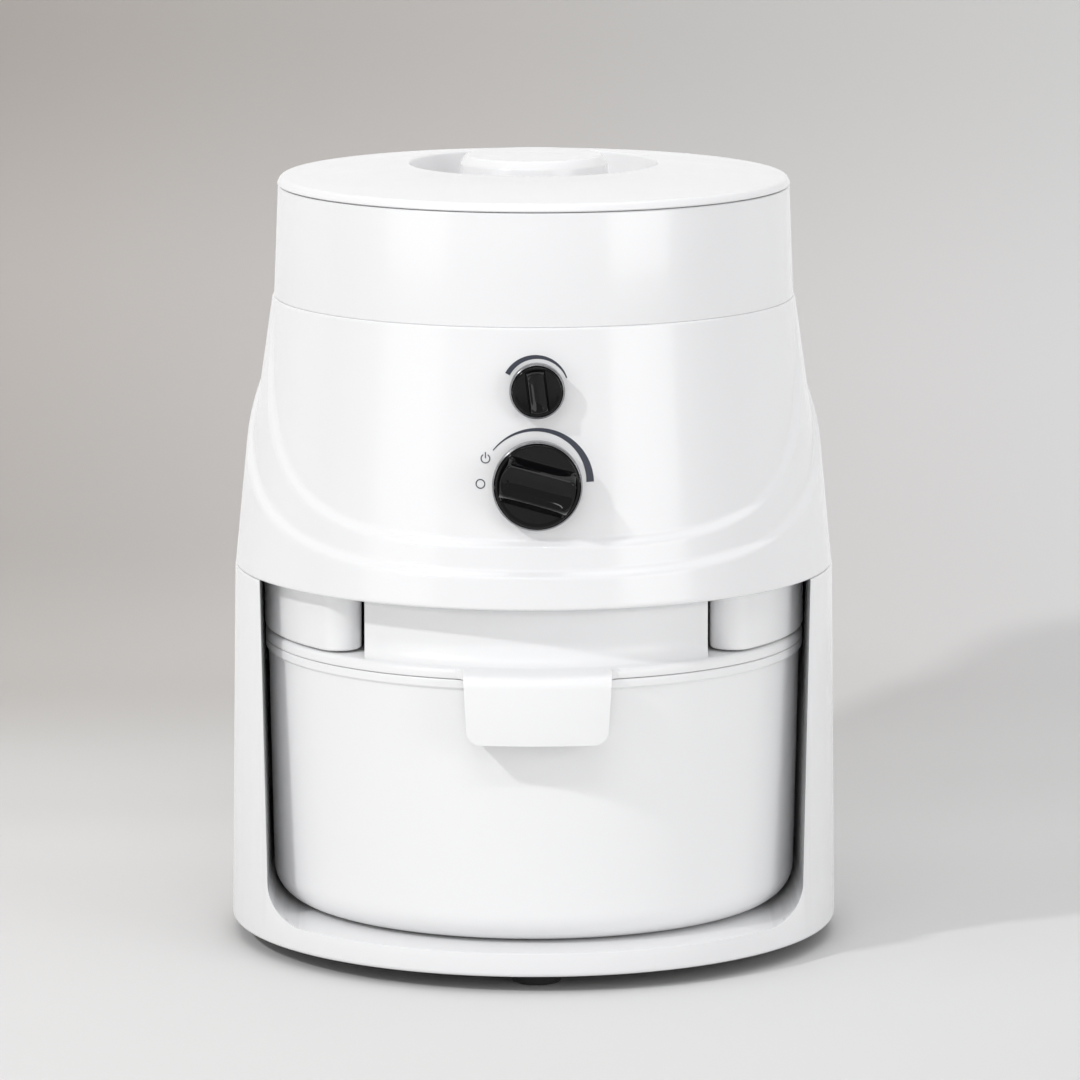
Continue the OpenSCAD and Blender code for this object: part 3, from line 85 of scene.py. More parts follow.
def new_object(name, verts, faces, body=None, material=None, replaces=(), sharp=35):
    """A mesh from points in millimetres, with what the frame has to know about it."""
    mesh = bpy.data.meshes.new(name)
    mesh.from_pydata([Vector(v) * MM for v in verts], [], faces)
    mesh.validate()
    clean = bmesh.new()
    clean.from_mesh(mesh)
    bmesh.ops.remove_doubles(clean, verts=clean.verts, dist=1e-6)
    bmesh.ops.recalc_face_normals(clean, faces=clean.faces)
    clean.to_mesh(mesh)
    clean.free()
    piece = bpy.data.objects.new(name, mesh)
    bpy.context.scene.collection.objects.link(piece)
    if material:
        mesh.materials.append(material)
    shade(piece, sharp)
    if body:
        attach(piece, body)
    if replaces:
        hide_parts(*replaces)
    return piece


def shade(piece, sharp):
    """Smooth shading, apart from edges sharper than an angle in degrees."""
    piece.data.polygons.foreach_set("use_smooth", [True] * len(piece.data.polygons))
    piece.data.set_sharp_from_angle(angle=math.radians(sharp))


def apply_modifier(piece, kind, **settings):
    modifier = piece.modifiers.new(kind.lower(), kind)
    for key, value in settings.items():
        setattr(modifier, key, value)
    with bpy.context.temp_override(object=piece, active_object=piece, selected_objects=[piece]):
        bpy.ops.object.modifier_apply(modifier=modifier.name)


def combine(piece, other, operation):
    """A boolean of two pieces; the other one is used up."""
    apply_modifier(piece, "BOOLEAN", object=other, operation=operation, solver="EXACT")
    bpy.data.objects.remove(other)


def soften(piece, width, segments=3, angle=35, sharp=40):
    """Round every edge that is sharper than an angle in degrees."""
    apply_modifier(piece, "BEVEL", width=width * MM, segments=segments, limit_method="ANGLE",
                   angle_limit=math.radians(angle), use_clamp_overlap=True, miter_outer="MITER_ARC")
    shade(piece, sharp)


def rounded(points, steps=5, closed=True):
    """A path whose corners (x, y, radius) are rounded; the ends stay put if it isn't closed."""
    out = []
    count = len(points)
    for i, (x, y, radius) in enumerate(points):
        end = not closed and i in (0, count - 1)
        here = Vector((x, y))
        if radius <= 0 or end:
            out.append((x, y))
            continue
        a = Vector(points[i - 1][:2]) - here
        b = Vector(points[(i + 1) % count][:2]) - here
        half = a.angle(b) / 2
        reach = min(radius / math.tan(half), a.length * 0.49, b.length * 0.49)
        radius = reach * math.tan(half)
        centre = here + (a.normalized() + b.normalized()).normalized() * (radius / math.sin(half))
        start = here + a.normalized() * reach - centre
        stop = here + b.normalized() * reach - centre
        turn = math.atan2(start.x * stop.y - start.y * stop.x, start.dot(stop))
        for k in range(steps + 1):
            angle = turn * k / steps
            out.append((centre.x + start.x * math.cos(angle) - start.y * math.sin(angle),
                        centre.y + start.x * math.sin(angle) + start.y * math.cos(angle)))
    return out


def circle(r, centre=(0, 0), count=24):
    angles = [math.radians(360 / count * k) for k in range(count)]
    return [(centre[0] + r * math.cos(a), centre[1] + r * math.sin(a)) for a in angles]


def smooth(t):
    """0 to 1 with a soft start and end."""
    t = min(1.0, max(0.0, t))
    return t * t * (3 - 2 * t)


def lathe_data(profile, segments, place=(0, 0)):
    """Vertices and faces of a closed profile of (r, z), or of one whose ends are on the axis."""
    verts, faces, rings = [], [], []
    for r, z in profile:
        if r < 1e-4:
            rings.append([len(verts)])
            verts.append((place[0], place[1], z))
            continue
        rings.append(range(len(verts), len(verts) + segments))
        for k in range(segments):
            a = 2 * math.pi * k / segments
            verts.append((place[0] + r * math.sin(a), place[1] - r * math.cos(a), z))
    for i, low in enumerate(rings):
        high = rings[(i + 1) % len(rings)]
        if len(low) == 1 and len(high) == 1:
            continue
        for k in range(segments):
            n = (k + 1) % segments
            if len(low) == 1:
                faces.append((low[0], high[n], high[k]))
            elif len(high) == 1:
                faces.append((low[k], low[n], high[0]))
            else:
                faces.append((low[k], low[n], high[n], high[k]))
    return verts, faces


def lathe(name, profile, body=None, material=None, replaces=(), segments=256, place=(0, 0)):
    verts, faces = lathe_data(profile, segments, place)
    return new_object(name, verts, faces, body, material, replaces)


def prism(name, outline, low, high, to_space, body=None, material=None, replaces=()):
    """An outline of (u, v), extruded from low to high along w; to_space(u, v, w) gives x, y, z."""
    count = len(outline)
    verts = [to_space(u, v, w) for w in (low, high) for u, v in outline]
    faces = [tuple(range(count)), tuple(range(2 * count - 1, count - 1, -1))]
    faces += [(i, (i + 1) % count, count + (i + 1) % count, count + i) for i in range(count)]
    return new_object(name, verts, faces, body, material, replaces)


def flat(u, v, w):
    """For an outline in plan, extruded upwards."""
    return (u, v, w)


def front(u, v, w):
    """For an outline in elevation, extruded from front to back."""
    return (u, w, v)


# ---- Materials ----

def material(name, colour, roughness, metallic=0.0, coat=0.0, coat_roughness=0.05, ior=1.46,
             bump=0.0, bump_scale=900.0, shade_by=0.03, shade_scale=9.0,
             rough_by=0.06, rough_scale=35.0, stretch=(1, 1, 1), sheen=0.0):
    """A surface with slight changes of colour and gloss, and a fine texture in relief."""
    made = bpy.data.materials.new(name)
    made.use_nodes = True
    nodes, links = made.node_tree.nodes, made.node_tree.links
    shader = nodes["Principled BSDF"]
    shader.inputs["Metallic"].default_value = metallic
    shader.inputs["IOR"].default_value = ior
    shader.inputs["Coat Weight"].default_value = coat
    shader.inputs["Coat Roughness"].default_value = coat_roughness
    shader.inputs["Sheen Weight"].default_value = sheen
    place = nodes.new("ShaderNodeTexCoord")
    scaled = nodes.new("ShaderNodeMapping")
    scaled.inputs["Scale"].default_value = stretch
    links.new(place.outputs["Object"], scaled.inputs["Vector"])

    def noise(scale, detail):
        node = nodes.new("ShaderNodeTexNoise")
        node.inputs["Scale"].default_value = scale
        node.inputs["Detail"].default_value = detail
        links.new(scaled.outputs["Vector"], node.inputs["Vector"])
        return node

    tone = nodes.new("ShaderNodeValToRGB")
    darker = tuple(c * (1 - shade_by) for c in colour)
    tone.color_ramp.elements[0].position = 0.3
    tone.color_ramp.elements[1].position = 0.7
    tone.color_ramp.elements[0].color = (*darker, 1)
    tone.color_ramp.elements[1].color = (*colour, 1)
    links.new(noise(shade_scale, 3).outputs["Fac"], tone.inputs["Fac"])
    links.new(tone.outputs["Color"], shader.inputs["Base Color"])
    gloss = nodes.new("ShaderNodeMapRange")
    gloss.inputs["To Min"].default_value = max(0.0, roughness - rough_by)
    gloss.inputs["To Max"].default_value = roughness + rough_by
    links.new(noise(rough_scale, 4).outputs["Fac"], gloss.inputs["Value"])
    links.new(gloss.outputs["Result"], shader.inputs["Roughness"])
    if bump:
        relief = nodes.new("ShaderNodeBump")
        relief.inputs["Strength"].default_value = bump
        relief.inputs["Distance"].default_value = 0.0002
        links.new(noise(bump_scale, 2).outputs["Fac"], relief.inputs["Height"])
        links.new(relief.outputs["Normal"], shader.inputs["Normal"])
    return made


white_shell = material("white_shell", (0.855, 0.857, 0.865), 0.22, coat=0.2, coat_roughness=0.08,
                       bump=0.05, bump_scale=420, shade_by=0.008, rough_by=0.04)
white_bowl = material("white_bowl", (0.885, 0.888, 0.893), 0.3, bump=0.06, bump_scale=500,
                      shade_by=0.01, rough_by=0.05)
# The underside is painted near black: painted shade for the dark gap under the base, where little
# light reaches.
underside = material("underside", (0.05, 0.047, 0.045), 0.55, bump=0.25, bump_scale=1400)
foot_rubber = material("foot_rubber", (0.03, 0.03, 0.032), 0.75, bump=0.4, bump_scale=1600,
                       shade_by=0.3, sheen=0.1)
steel = material("steel", (0.62, 0.62, 0.63), 0.32, metallic=1, bump=0.15, stretch=(1, 1, 9),
                 bump_scale=300, rough_by=0.1)
nylon = material("nylon", (0.79, 0.76, 0.66), 0.42, bump=0.15, bump_scale=700)
dark_plastic = material("dark_plastic", (0.025, 0.025, 0.028), 0.45, bump=0.25, bump_scale=1300,
                        shade_by=0.2)
board = material("board", (0.02, 0.13, 0.055), 0.35, bump=0.3, bump_scale=260, shade_by=0.3,
                 shade_scale=120)
wire = material("wire", (0.36, 0.025, 0.02), 0.4, bump=0.1, shade_by=0.1)
cast_alloy = material("cast_alloy", (0.56, 0.57, 0.58), 0.48, metallic=1, bump=0.6, bump_scale=700,
                      shade_by=0.1, rough_by=0.12)
laminations = material("laminations", (0.3, 0.31, 0.33), 0.42, metallic=1, bump=0.9,
                       stretch=(0.02, 0.02, 1), bump_scale=1800, shade_by=0.25, shade_scale=600)
copper = material("copper", (0.55, 0.2, 0.075), 0.3, metallic=1, bump=0.8, stretch=(1, 1, 0.2),
                  bump_scale=900, shade_by=0.3, shade_scale=500)
brass = material("brass", (0.62, 0.42, 0.16), 0.3, metallic=1, bump=0.1)
carbon = material("carbon", (0.02, 0.02, 0.022), 0.6, bump=0.5, bump_scale=1500, shade_by=0.3)
burr_steel = material("burr_steel", (0.55, 0.56, 0.58), 0.24, metallic=1, bump=0.2, bump_scale=500)
seal = material("seal", (0.62, 0.62, 0.6), 0.5, bump=0.1, sheen=0.1)
foam = material("foam", (0.035, 0.035, 0.037), 0.95, bump=1.0, bump_scale=750, shade_by=0.5,
                shade_scale=600)
knob_black = material("knob_black", (0.0025, 0.0025, 0.003), 0.06, ior=1.33, bump=0.03,
                      bump_scale=160, shade_by=0.3, rough_by=0.03, rough_scale=60)
knob_trim = material("knob_trim", (0.3, 0.3, 0.31), 0.22, metallic=1, bump=0.1, bump_scale=500,
                     rough_by=0.06)
print_ink = material("print_ink", (0.05, 0.055, 0.076), 0.42, bump=0.05, bump_scale=900,
                     shade_by=0.06, shade_scale=60)
SLOTS = {"white_shell": white_shell, "white_bowl": white_bowl, "underside": underside,
         "foot_rubber": foot_rubber, "steel": steel, "nylon": nylon, "dark_plastic": dark_plastic,
         "board": board, "wire": wire, "cast_alloy": cast_alloy, "laminations": laminations,
         "copper": copper, "brass": brass, "carbon": carbon, "burr_steel": burr_steel,
         "seal": seal, "foam": foam, "knob_black": knob_black, "knob_trim": knob_trim}

for part in frame["record"]["subparts"]:
    node = frame["nodes"][part["node"]]
    node.data.materials.clear()
    node.data.materials.append(SLOTS[part["material_slot"]])
    shade(node, 30)


# ---- Camera and light ----

CAMERA_PITCH = 9.45

camera = bpy.data.objects.new("camera", bpy.data.cameras.new("camera"))
bpy.context.scene.collection.objects.link(camera)
camera.location = (-0.0373, -3.0556, 0.687)
camera.rotation_euler = (math.radians(90 - CAMERA_PITCH), 0, math.radians(-0.7))
camera.data.lens = 228.3
camera.data.sensor_width = 36
camera.data.shift_x = 0.0058
camera.data.clip_end = 50
bpy.context.scene.camera = camera


def lamp(name, place, target, size, power):
    """A soft box in metres and watts, turned to its target."""
    light = bpy.data.lights.new(name, "AREA")
    light.shape = "RECTANGLE"
    light.size, light.size_y = size
    light.energy = power
    holder = bpy.data.objects.new(name, light)
    holder.location = place
    holder.rotation_euler = (Vector(target) - Vector(place)).to_track_quat("-Z", "Y").to_euler()
    bpy.context.scene.collection.objects.link(holder)


lamp("key", (-1.85, -1.55, 1.98), (0, 0, 0.2), (0.13, 0.13), 25)
lamp("high", (-0.2, -2.2, 2.7), (0, 0, 0.15), (2.0, 0.14), 12)
lamp("left", (-2.4, -1.8, 0.55), (0, 0, 0.1), (1.6, 1.0), 7)
lamp("right", (2.2, -2.1, 0.75), (0, 0, 0.15), (1.6, 1.4), 19)
lamp("top", (0.0, 0.4, 2.6), (0, 0, 0.2), (2.4, 2.0), 22)

world = bpy.data.worlds.new("world")
bpy.context.scene.world = world
world.use_nodes = True
sky = world.node_tree.nodes["Background"]
sky.inputs["Color"].default_value = (0.99, 0.99, 1, 1)
sky.inputs["Strength"].default_value = 0.57
bpy.context.scene.view_settings.view_transform = "Standard"


# Stage colours at shares of STAGE_HIGH: (share, red, green, blue), left and right, in metres
# Both ramps darken with height, the left one more: painted shade for the light's fall-off up the
# sweep.
STAGE_HIGH, STAGE_LEFT_X, STAGE_RIGHT_X = 0.36, -0.32, 0.3
STAGE_LEFT = ((0.0, 0.77, 0.768, 0.765), (0.035, 0.69, 0.688, 0.675), (0.14, 0.51, 0.49, 0.468),
              (0.3, 0.425, 0.4, 0.38), (0.6, 0.436, 0.408, 0.387), (1.0, 0.35, 0.322, 0.3))
STAGE_RIGHT = ((0.0, 0.73, 0.732, 0.732), (0.06, 0.68, 0.678, 0.676), (0.14, 0.64, 0.635, 0.634),
               (0.45, 0.63, 0.624, 0.624), (1.0, 0.557, 0.554, 0.549))


def stage_material():
    """Pale on the floor, and up the sweep a grey that is darker and warmer on the left; the
    darkening is painted shade for light that falls off there. Pale again where the mill's skin
    mirrors it. Its outer side is clear, so it hides no view from behind."""
    made = bpy.data.materials.new("stage")
    made.use_nodes = True
    nodes, links = made.node_tree.nodes, made.node_tree.links
    shader = nodes["Principled BSDF"]
    shader.inputs["Roughness"].default_value = 0.9
    shader.inputs["Specular IOR Level"].default_value = 0.2
    place = nodes.new("ShaderNodeTexCoord")
    axes = nodes.new("ShaderNodeSeparateXYZ")
    links.new(place.outputs["Object"], axes.inputs["Vector"])
    sides = []
    for stops in (STAGE_LEFT, STAGE_RIGHT):
        height = nodes.new("ShaderNodeMapRange")
        height.inputs["From Max"].default_value = STAGE_HIGH
        links.new(axes.outputs["Z"], height.inputs["Value"])
        ramp = nodes.new("ShaderNodeValToRGB")
        ramp.color_ramp.interpolation = "EASE"
        elements = ramp.color_ramp.elements
        while len(elements) < len(stops):
            elements.new(0.5)
        for element, (position, *colour) in zip(elements, stops):
            element.position = position
            element.color = (*colour, 1)
        links.new(height.outputs["Result"], ramp.inputs["Fac"])
        sides.append(ramp)
    across = nodes.new("ShaderNodeMapRange")
    across.inputs["From Min"].default_value = STAGE_LEFT_X
    across.inputs["From Max"].default_value = STAGE_RIGHT_X
    links.new(axes.outputs["X"], across.inputs["Value"])
    mix = nodes.new("ShaderNodeMix")
    mix.data_type = "RGBA"
    links.new(across.outputs["Result"], mix.inputs["Factor"])
    links.new(sides[0].outputs["Color"], mix.inputs["A"])
    links.new(sides[1].outputs["Color"], mix.inputs["B"])
    paths = nodes.new("ShaderNodeLightPath")
    mirrored = nodes.new("ShaderNodeMix")
    mirrored.data_type = "RGBA"
    mirrored.inputs["B"].default_value = (0.85, 0.85, 0.85, 1)
    links.new(paths.outputs["Is Glossy Ray"], mirrored.inputs["Factor"])
    links.new(mix.outputs["Result"], mirrored.inputs["A"])
    links.new(mirrored.outputs["Result"], shader.inputs["Base Color"])
    geometry = nodes.new("ShaderNodeNewGeometry")
    clear = nodes.new("ShaderNodeBsdfTransparent")
    one_sided = nodes.new("ShaderNodeMixShader")
    links.new(geometry.outputs["Backfacing"], one_sided.inputs[0])
    links.new(shader.outputs["BSDF"], one_sided.inputs[1])
    links.new(clear.outputs["BSDF"], one_sided.inputs[2])
    links.new(one_sided.outputs["Shader"], nodes["Material Output"].inputs["Surface"])
    return made


def backdrop():
    """A plain floor that sweeps up behind the mill, with its face up and towards the mill."""
    start, r, reach = 110, 560, 6000
    sweep = [(-reach, 0), (start, 0)]
    sweep += [(start + r * math.sin(a), r - r * math.cos(a))
              for a in [math.radians(3 * i) for i in range(1, 31)]]
    sweep.append((start + r, reach))
    count = len(sweep)
    floor = new_object("floor", [(x, y, z) for x in (-reach, reach) for y, z in sweep],
                       [(i, i + 1, count + i + 1, count + i) for i in range(count - 1)],
                       material=stage_material())
    if floor.data.polygons[0].normal.z < 0:
        floor.data.flip_normals()


backdrop()


# ---- Housing ----

def skin(z):
    """Radius of the drafted skin at a height."""
    return SEAM_R + DRAFT * (SEAM_Z - z)


def housing_r(angle, z):
    """Radius of the housing at an angle from the front: the skin and its two swept ledges."""
    r = skin(z)
    y, across = -r * math.cos(angle), math.sin(angle)
    # The upper ledge lies outside an ellipse in side view, and fades out towards the seam.
    fy, fz = (y - UPPER_Y) / UPPER_HALF_Y, (z - UPPER_Z) / UPPER_HALF_Z
    inside = 1 - fy * fy - fz * fz
    slope = math.hypot(2 * fy / UPPER_HALF_Y * across, 2 * fz / UPPER_HALF_Z)
    depth = -inside / max(slope, 1e-6) if y < UPPER_Y + UPPER_HALF_Y else LEDGE_SOFT
    faded = min(1, max(0, (z - UPPER_FADE_Z) / (SEAM_Z - UPPER_FADE_Z)))
    step = UPPER_STEP + (0.1 - UPPER_STEP) * faded
    r += step * smooth((depth / LEDGE_SOFT + 1) / 2)
    # The lower ledge lies under a parabola in side view, and rounds off at the seam.
    rise = y - LOWER_Y
    depth = LOWER_Z + LOWER_BEND * rise * rise - z
    depth /= math.hypot(2 * LOWER_BEND * rise * across, 1)
    both = UPPER_STEP + LOWER_STEP
    top = both
    if z > SEAM_Z - both:
        top = math.sqrt(max(0, both * both - (z - SEAM_Z + both) ** 2))
    lift = (skin(z) + top) - r
    return r + max(0, lift) * smooth((depth / LEDGE_SOFT + 1) / 2)


def housing_shell():
    """Rings of (height, distance inwards), up the outside and down the inside, then the holes."""
    around, row_count = 720, 130
    high = SEAM_Z - 0.6 - FLOOR_Z - 1.2
    rows = [FLOOR_Z + 1.2 + high * i / row_count for i in range(row_count + 1)]
    levels = [(FLOOR_Z, -1.2), (FLOOR_Z + 0.25, -0.55), (FLOOR_Z + 0.7, -0.12)]
    levels += [(z, 0) for z in rows]
    levels += [(SEAM_Z - 0.2, -0.15), (SEAM_Z, -0.6)]
    levels += [(SEAM_Z, -WALL)] + [(z, -WALL) for z in rows[::-10]]
    levels += [(FLOOR_TOP + 0.1, -WALL), (FLOOR_TOP + 0.1, -1.5), (FLOOR_Z, -1.5)]
    verts, faces = [], []
    for z, inward in levels:
        for k in range(around):
            a = 2 * math.pi * k / around
            r = housing_r(a, z) + inward
            verts.append((r * math.sin(a), -r * math.cos(a), z))
    for i in range(len(levels)):
        j = (i + 1) % len(levels)
        for k in range(around):
            n = (k + 1) % around
            faces.append((i * around + k, i * around + n, j * around + n, j * around + k))
    shell = new_object("housing_shell", verts, faces, "root", white_shell,
                       ("upper_housing",), sharp=50)
    slot_r = SLOT_HALF - 0.1
    slot = rounded([(-SLOT_HALF, SLOT_LOW, slot_r), (SLOT_HALF, SLOT_LOW, slot_r),
                    (SLOT_HALF, SLOT_HIGH, slot_r), (-SLOT_HALF, SLOT_HIGH, slot_r)])
    for i in range(-5, 6):
        cutter = prism("slot", [(u + SLOT_PITCH * i, v) for u, v in slot], 100, 150, front)
        combine(shell, cutter, "DIFFERENCE")
    for z in (FEED_Z, MOTOR_Z):
        combine(shell, prism("hole", circle(SHAFT_HOLE_R, (0, z)), -150, -100, front), "DIFFERENCE")
    combine(shell, prism("hole", circle(INLET_R, (0, INLET_Z)), 100, 150, front), "DIFFERENCE")
    shade(shell, 50)


housing_shell()


# ---- Hopper and lid ----

# Profiles hold (radius, height, rounding).
hopper_profile = rounded([
    (114.1, SEAM_Z, 0), (116.6, SEAM_Z, 0.6), (114.6, RIM_Z, 0.8), (112.1, RIM_Z, 0.8),
    (112.1, 332.4, 3), (12, 282.3, 4), (12, 276.3, 0.3), (14.5, 276.3, 0.3), (14.5, 281.5, 3),
    (110.85, 329.9, 2)])
lathe("hopper_ring", hopper_profile, "root", white_shell, ("hopper",))

lid_profile = rounded([
    (0, 352.2, 0), (19, 352.5, 8), (30.4, 353.75, 1.6), (33.0, 350.0, 2.5), (34.2, 338.6, 2.0),
    (54.2, 338.6, 2.2), (55.6, 350.2, 1.2), (113.5, 344.4, 2.6), (115.2, 340.95, 0.6),
    (113.6, 340.95, 0), (113.6, 340.7, 0), (111.6, 340.7, 0.4), (111.6, 332.4, 0.4),
    (109.1, 332.4, 0.4), (109.1, 341.8, 1), (58, 347.7, 1), (56.8, 336.0, 1.5),
    (32.0, 335.9, 1.5), (30, 350.0, 2), (0, 349.7, 0)], closed=False)
lathe("lid", lid_profile, "lid", white_shell, ("hopper_lid",))


# ---- Base ----

def frame_r(z):
    """Radius of the round wall at a height."""
    return BASE_R + (BASE_TOP_R - BASE_R) * (z - FOOT_Z) / (FLOOR_Z - FOOT_Z)


def bay_outline(out, top):
    """Front outline of the bowl's bay, set out by a wall; its floor is let into the tray a little."""
    x, z = BAY_HALF_LOW - BAY_CORNER_R, TRAY_Z + BAY_CORNER_R - BAY_SINK
    r = BAY_CORNER_R + out
    corners = [(side + r * math.cos(math.radians(start + 6 * i)),
                z + r * math.sin(math.radians(start + 6 * i)))
               for side, start in ((-x, 180), (x, 270)) for i in range(16)]
    return [(BAY_HALF_TOP + out, top), (-BAY_HALF_TOP - out, top)] + corners


def round_front_edge(shell):
    """A broad, soft edge on the ring under the opening, which narrows up the pillars."""
    high = 12
    clean = bmesh.new()
    clean.from_mesh(shell.data)
    bmesh.ops.dissolve_limit(clean, angle_limit=math.radians(0.5), verts=clean.verts,
                             edges=clean.edges)
    weight = clean.edges.layers.float.new("bevel_weight_edge")
    for edge in clean.edges:
        points = [v.co / MM for v in edge.verts]
        on_edge = all(math.hypot(p.x, p.y) > frame_r(p.z) - 0.3 and p.y < -20 and
                      TRAY_Z - 1 < p.z < TRAY_Z + high + 2 for p in points)
        if on_edge and len(edge.link_faces) == 2 and edge.calc_face_angle() > math.radians(50):
            rise = smooth((sum(p.z for p in points) / 2 - TRAY_Z) / high)
            edge[weight] = 1 - 0.75 * rise
    clean.to_mesh(shell.data)
    clean.free()
    apply_modifier(shell, "BEVEL", width=4.5 * MM, segments=6, limit_method="WEIGHT")


def base_shell():
    """Tray and round wall, opened at the front, with the bay's side walls let in."""
    inset, overlap = BASE_R - 4.05, 1.5
    profile = rounded([
        (0, TRAY_Z - WALL, 0), (0, TRAY_Z, 0), (frame_r(TRAY_Z) - WALL, TRAY_Z, 2.5),
        (BASE_TOP_R - WALL, FLOOR_Z, 0.4), (BASE_TOP_R, FLOOR_Z, 0.8), (BASE_R, FOOT_Z, 4),
        (inset, FOOT_Z, 0.5), (inset, TRAY_Z - WALL, 1)], closed=False)
    shell = lathe("base_shell", profile, "root", white_shell, ("base_frame",))
    bay = bay_outline(0, FLOOR_Z + 1)
    combine(shell, prism("opening", bay, -REACH, 0, front), "DIFFERENCE")
    sides = prism("sides", bay_outline(BAY_WALL, FLOOR_Z), -REACH, REACH, front)
    combine(sides, prism("inside", bay, -REACH - 10, REACH + 10, front), "DIFFERENCE")
    envelope = [(0, TRAY_Z - overlap), (frame_r(TRAY_Z) - overlap, TRAY_Z - overlap),
                (frame_r(FLOOR_Z) - overlap, FLOOR_Z), (0, FLOOR_Z)]
    combine(sides, lathe("envelope", envelope), "INTERSECT")
    combine(shell, sides, "UNION")
    round_front_edge(shell)
    soften(shell, 1.1, segments=3, angle=38)


base_shell()


def cheeks():
    """Blocks left and right of the bowl lid, with a round edge at the front."""
    edge, back, edge_steps, side_steps = 10.0, 60, 14, 48
    x = CHEEK_X + edge
    y = -math.sqrt((CHEEK_R - edge) ** 2 - x ** 2)
    tip, stop = math.atan2(y, x), math.asin(back / CHEEK_R)
    outline = [(CHEEK_X, back)]
    outline += [(x + edge * math.cos(a), y + edge * math.sin(a))
                for a in [math.pi + (tip + math.pi) * i / edge_steps for i in range(edge_steps + 1)]]
    outline += [(CHEEK_R * math.cos(a), CHEEK_R * math.sin(a))
                for a in [tip + (stop - tip) * i / side_steps for i in range(1, side_steps + 1)]]
    for side in (-1, 1):
        piece = prism("cheek_" + ("left" if side < 0 else "right"),
                      outline, FLANGE_TOP + 1, FLOOR_TOP - 0.7,
                      lambda u, v, w: (side * u, v + BOWL_Y, w),
                      "root", white_bowl, ("housing_floor",))
        soften(piece, 1.3, segments=4, angle=30)


def floor_plate():
    plate = prism("floor_plate", circle(129.6, count=120), FLOOR_Z, FLOOR_TOP, flat,
                  "root", white_shell, ("housing_floor",))
    port = [(-17, 68), (17, 68), (17, 96), (-17, 96)]
    combine(plate, prism("port", port, 160, 180, flat), "DIFFERENCE")
    soften(plate, 0.3, segments=2)


cheeks()
floor_plate()


# ---- Flour bowl ----

# The bowl has a step under its rim, and the lid's flange has a skirt that reaches into the bowl.
bowl_profile = rounded([
    (0, BOWL_Z, 0), (117.5, BOWL_Z, 14), (119.8, BOWL_STEP_Z, 0.8), (RIM_R, BOWL_STEP_Z + 1, 0.7),
    (RIM_R, BOWL_RIM_Z, 0.8), (117.3, BOWL_RIM_Z, 0.6), (117.3, BOWL_STEP_Z, 1),
    (115.0, BOWL_FLOOR, 11.5), (0, BOWL_FLOOR, 0)], steps=10, closed=False)
lathe("bowl", bowl_profile, "bowl", white_bowl, ("flour_bowl",), place=(0, BOWL_Y))

flange_profile = rounded([
    (0, FLANGE_TOP - LID_T, 0), (0, FLANGE_TOP, 0), (RIM_R, FLANGE_TOP, 2.6), (RIM_R, FLANGE_Z, 0.5),
    (114.4, FLANGE_Z, 0.3), (114.4, 125.0, 0.4), (112.1, 125.0, 0.4),
    (112.1, FLANGE_TOP - LID_T, 1)], closed=False)


def bowl_lid():
    """The raised middle runs from front to back between the cheeks and sweeps out to the flange."""
    foot_r, top_r, half, low, sweep_high = 118.4, 113.0, 75.5, FLANGE_TOP - 1.7, 9
    dome = rounded([(0, low, 0), (0, RAISED_TOP, 0), (top_r, RAISED_TOP, 4),
                    (top_r, FLANGE_TOP + sweep_high, 0)], steps=8, closed=False)
    steps = 9
    for i in range(1, steps + 1):
        a = math.pi / 2 * i / steps
        dome.append((foot_r - (foot_r - top_r) * math.cos(a),
                     FLANGE_TOP + sweep_high - sweep_high * math.sin(a)))
    dome.append((foot_r, low))
    raised = lathe("raised_middle", dome, "bowl", white_bowl, ("bowl_lid",),
                   place=(0, BOWL_Y))
    slab = [(-half, -130), (half, -130), (half, 130), (-half, 130)]
    combine(raised, prism("slab", slab, 138, 170, flat), "INTERSECT")
    combine(raised, lathe("lid_flange", flange_profile, place=(0, BOWL_Y)), "UNION")
    inner_r, inner_half, steps = 110, 73, 40
    corner = math.acos(inner_half / inner_r)
    angles = [corner + (math.pi - 2 * corner) * i / steps for i in range(steps + 1)]
    hollow = [(inner_r * math.cos(a), side * inner_r * math.sin(a)) for side in (-1, 1)
              for a in angles[::-side]]
    combine(raised, prism("hollow", hollow, 130, RAISED_TOP - LID_T, flat), "DIFFERENCE")
    port = [(-14, 71), (14, 71), (14, 93), (-14, 93)]
    for name, outline in (("vent", circle(30, (0, -40), 72)), ("port", port)):
        combine(raised, prism(name, outline, 160, 175, flat), "DIFFERENCE")
    shade(raised, 30)


def around_bowl(name, profile):
    return lathe(name, profile, segments=512, place=(0, BOWL_Y))


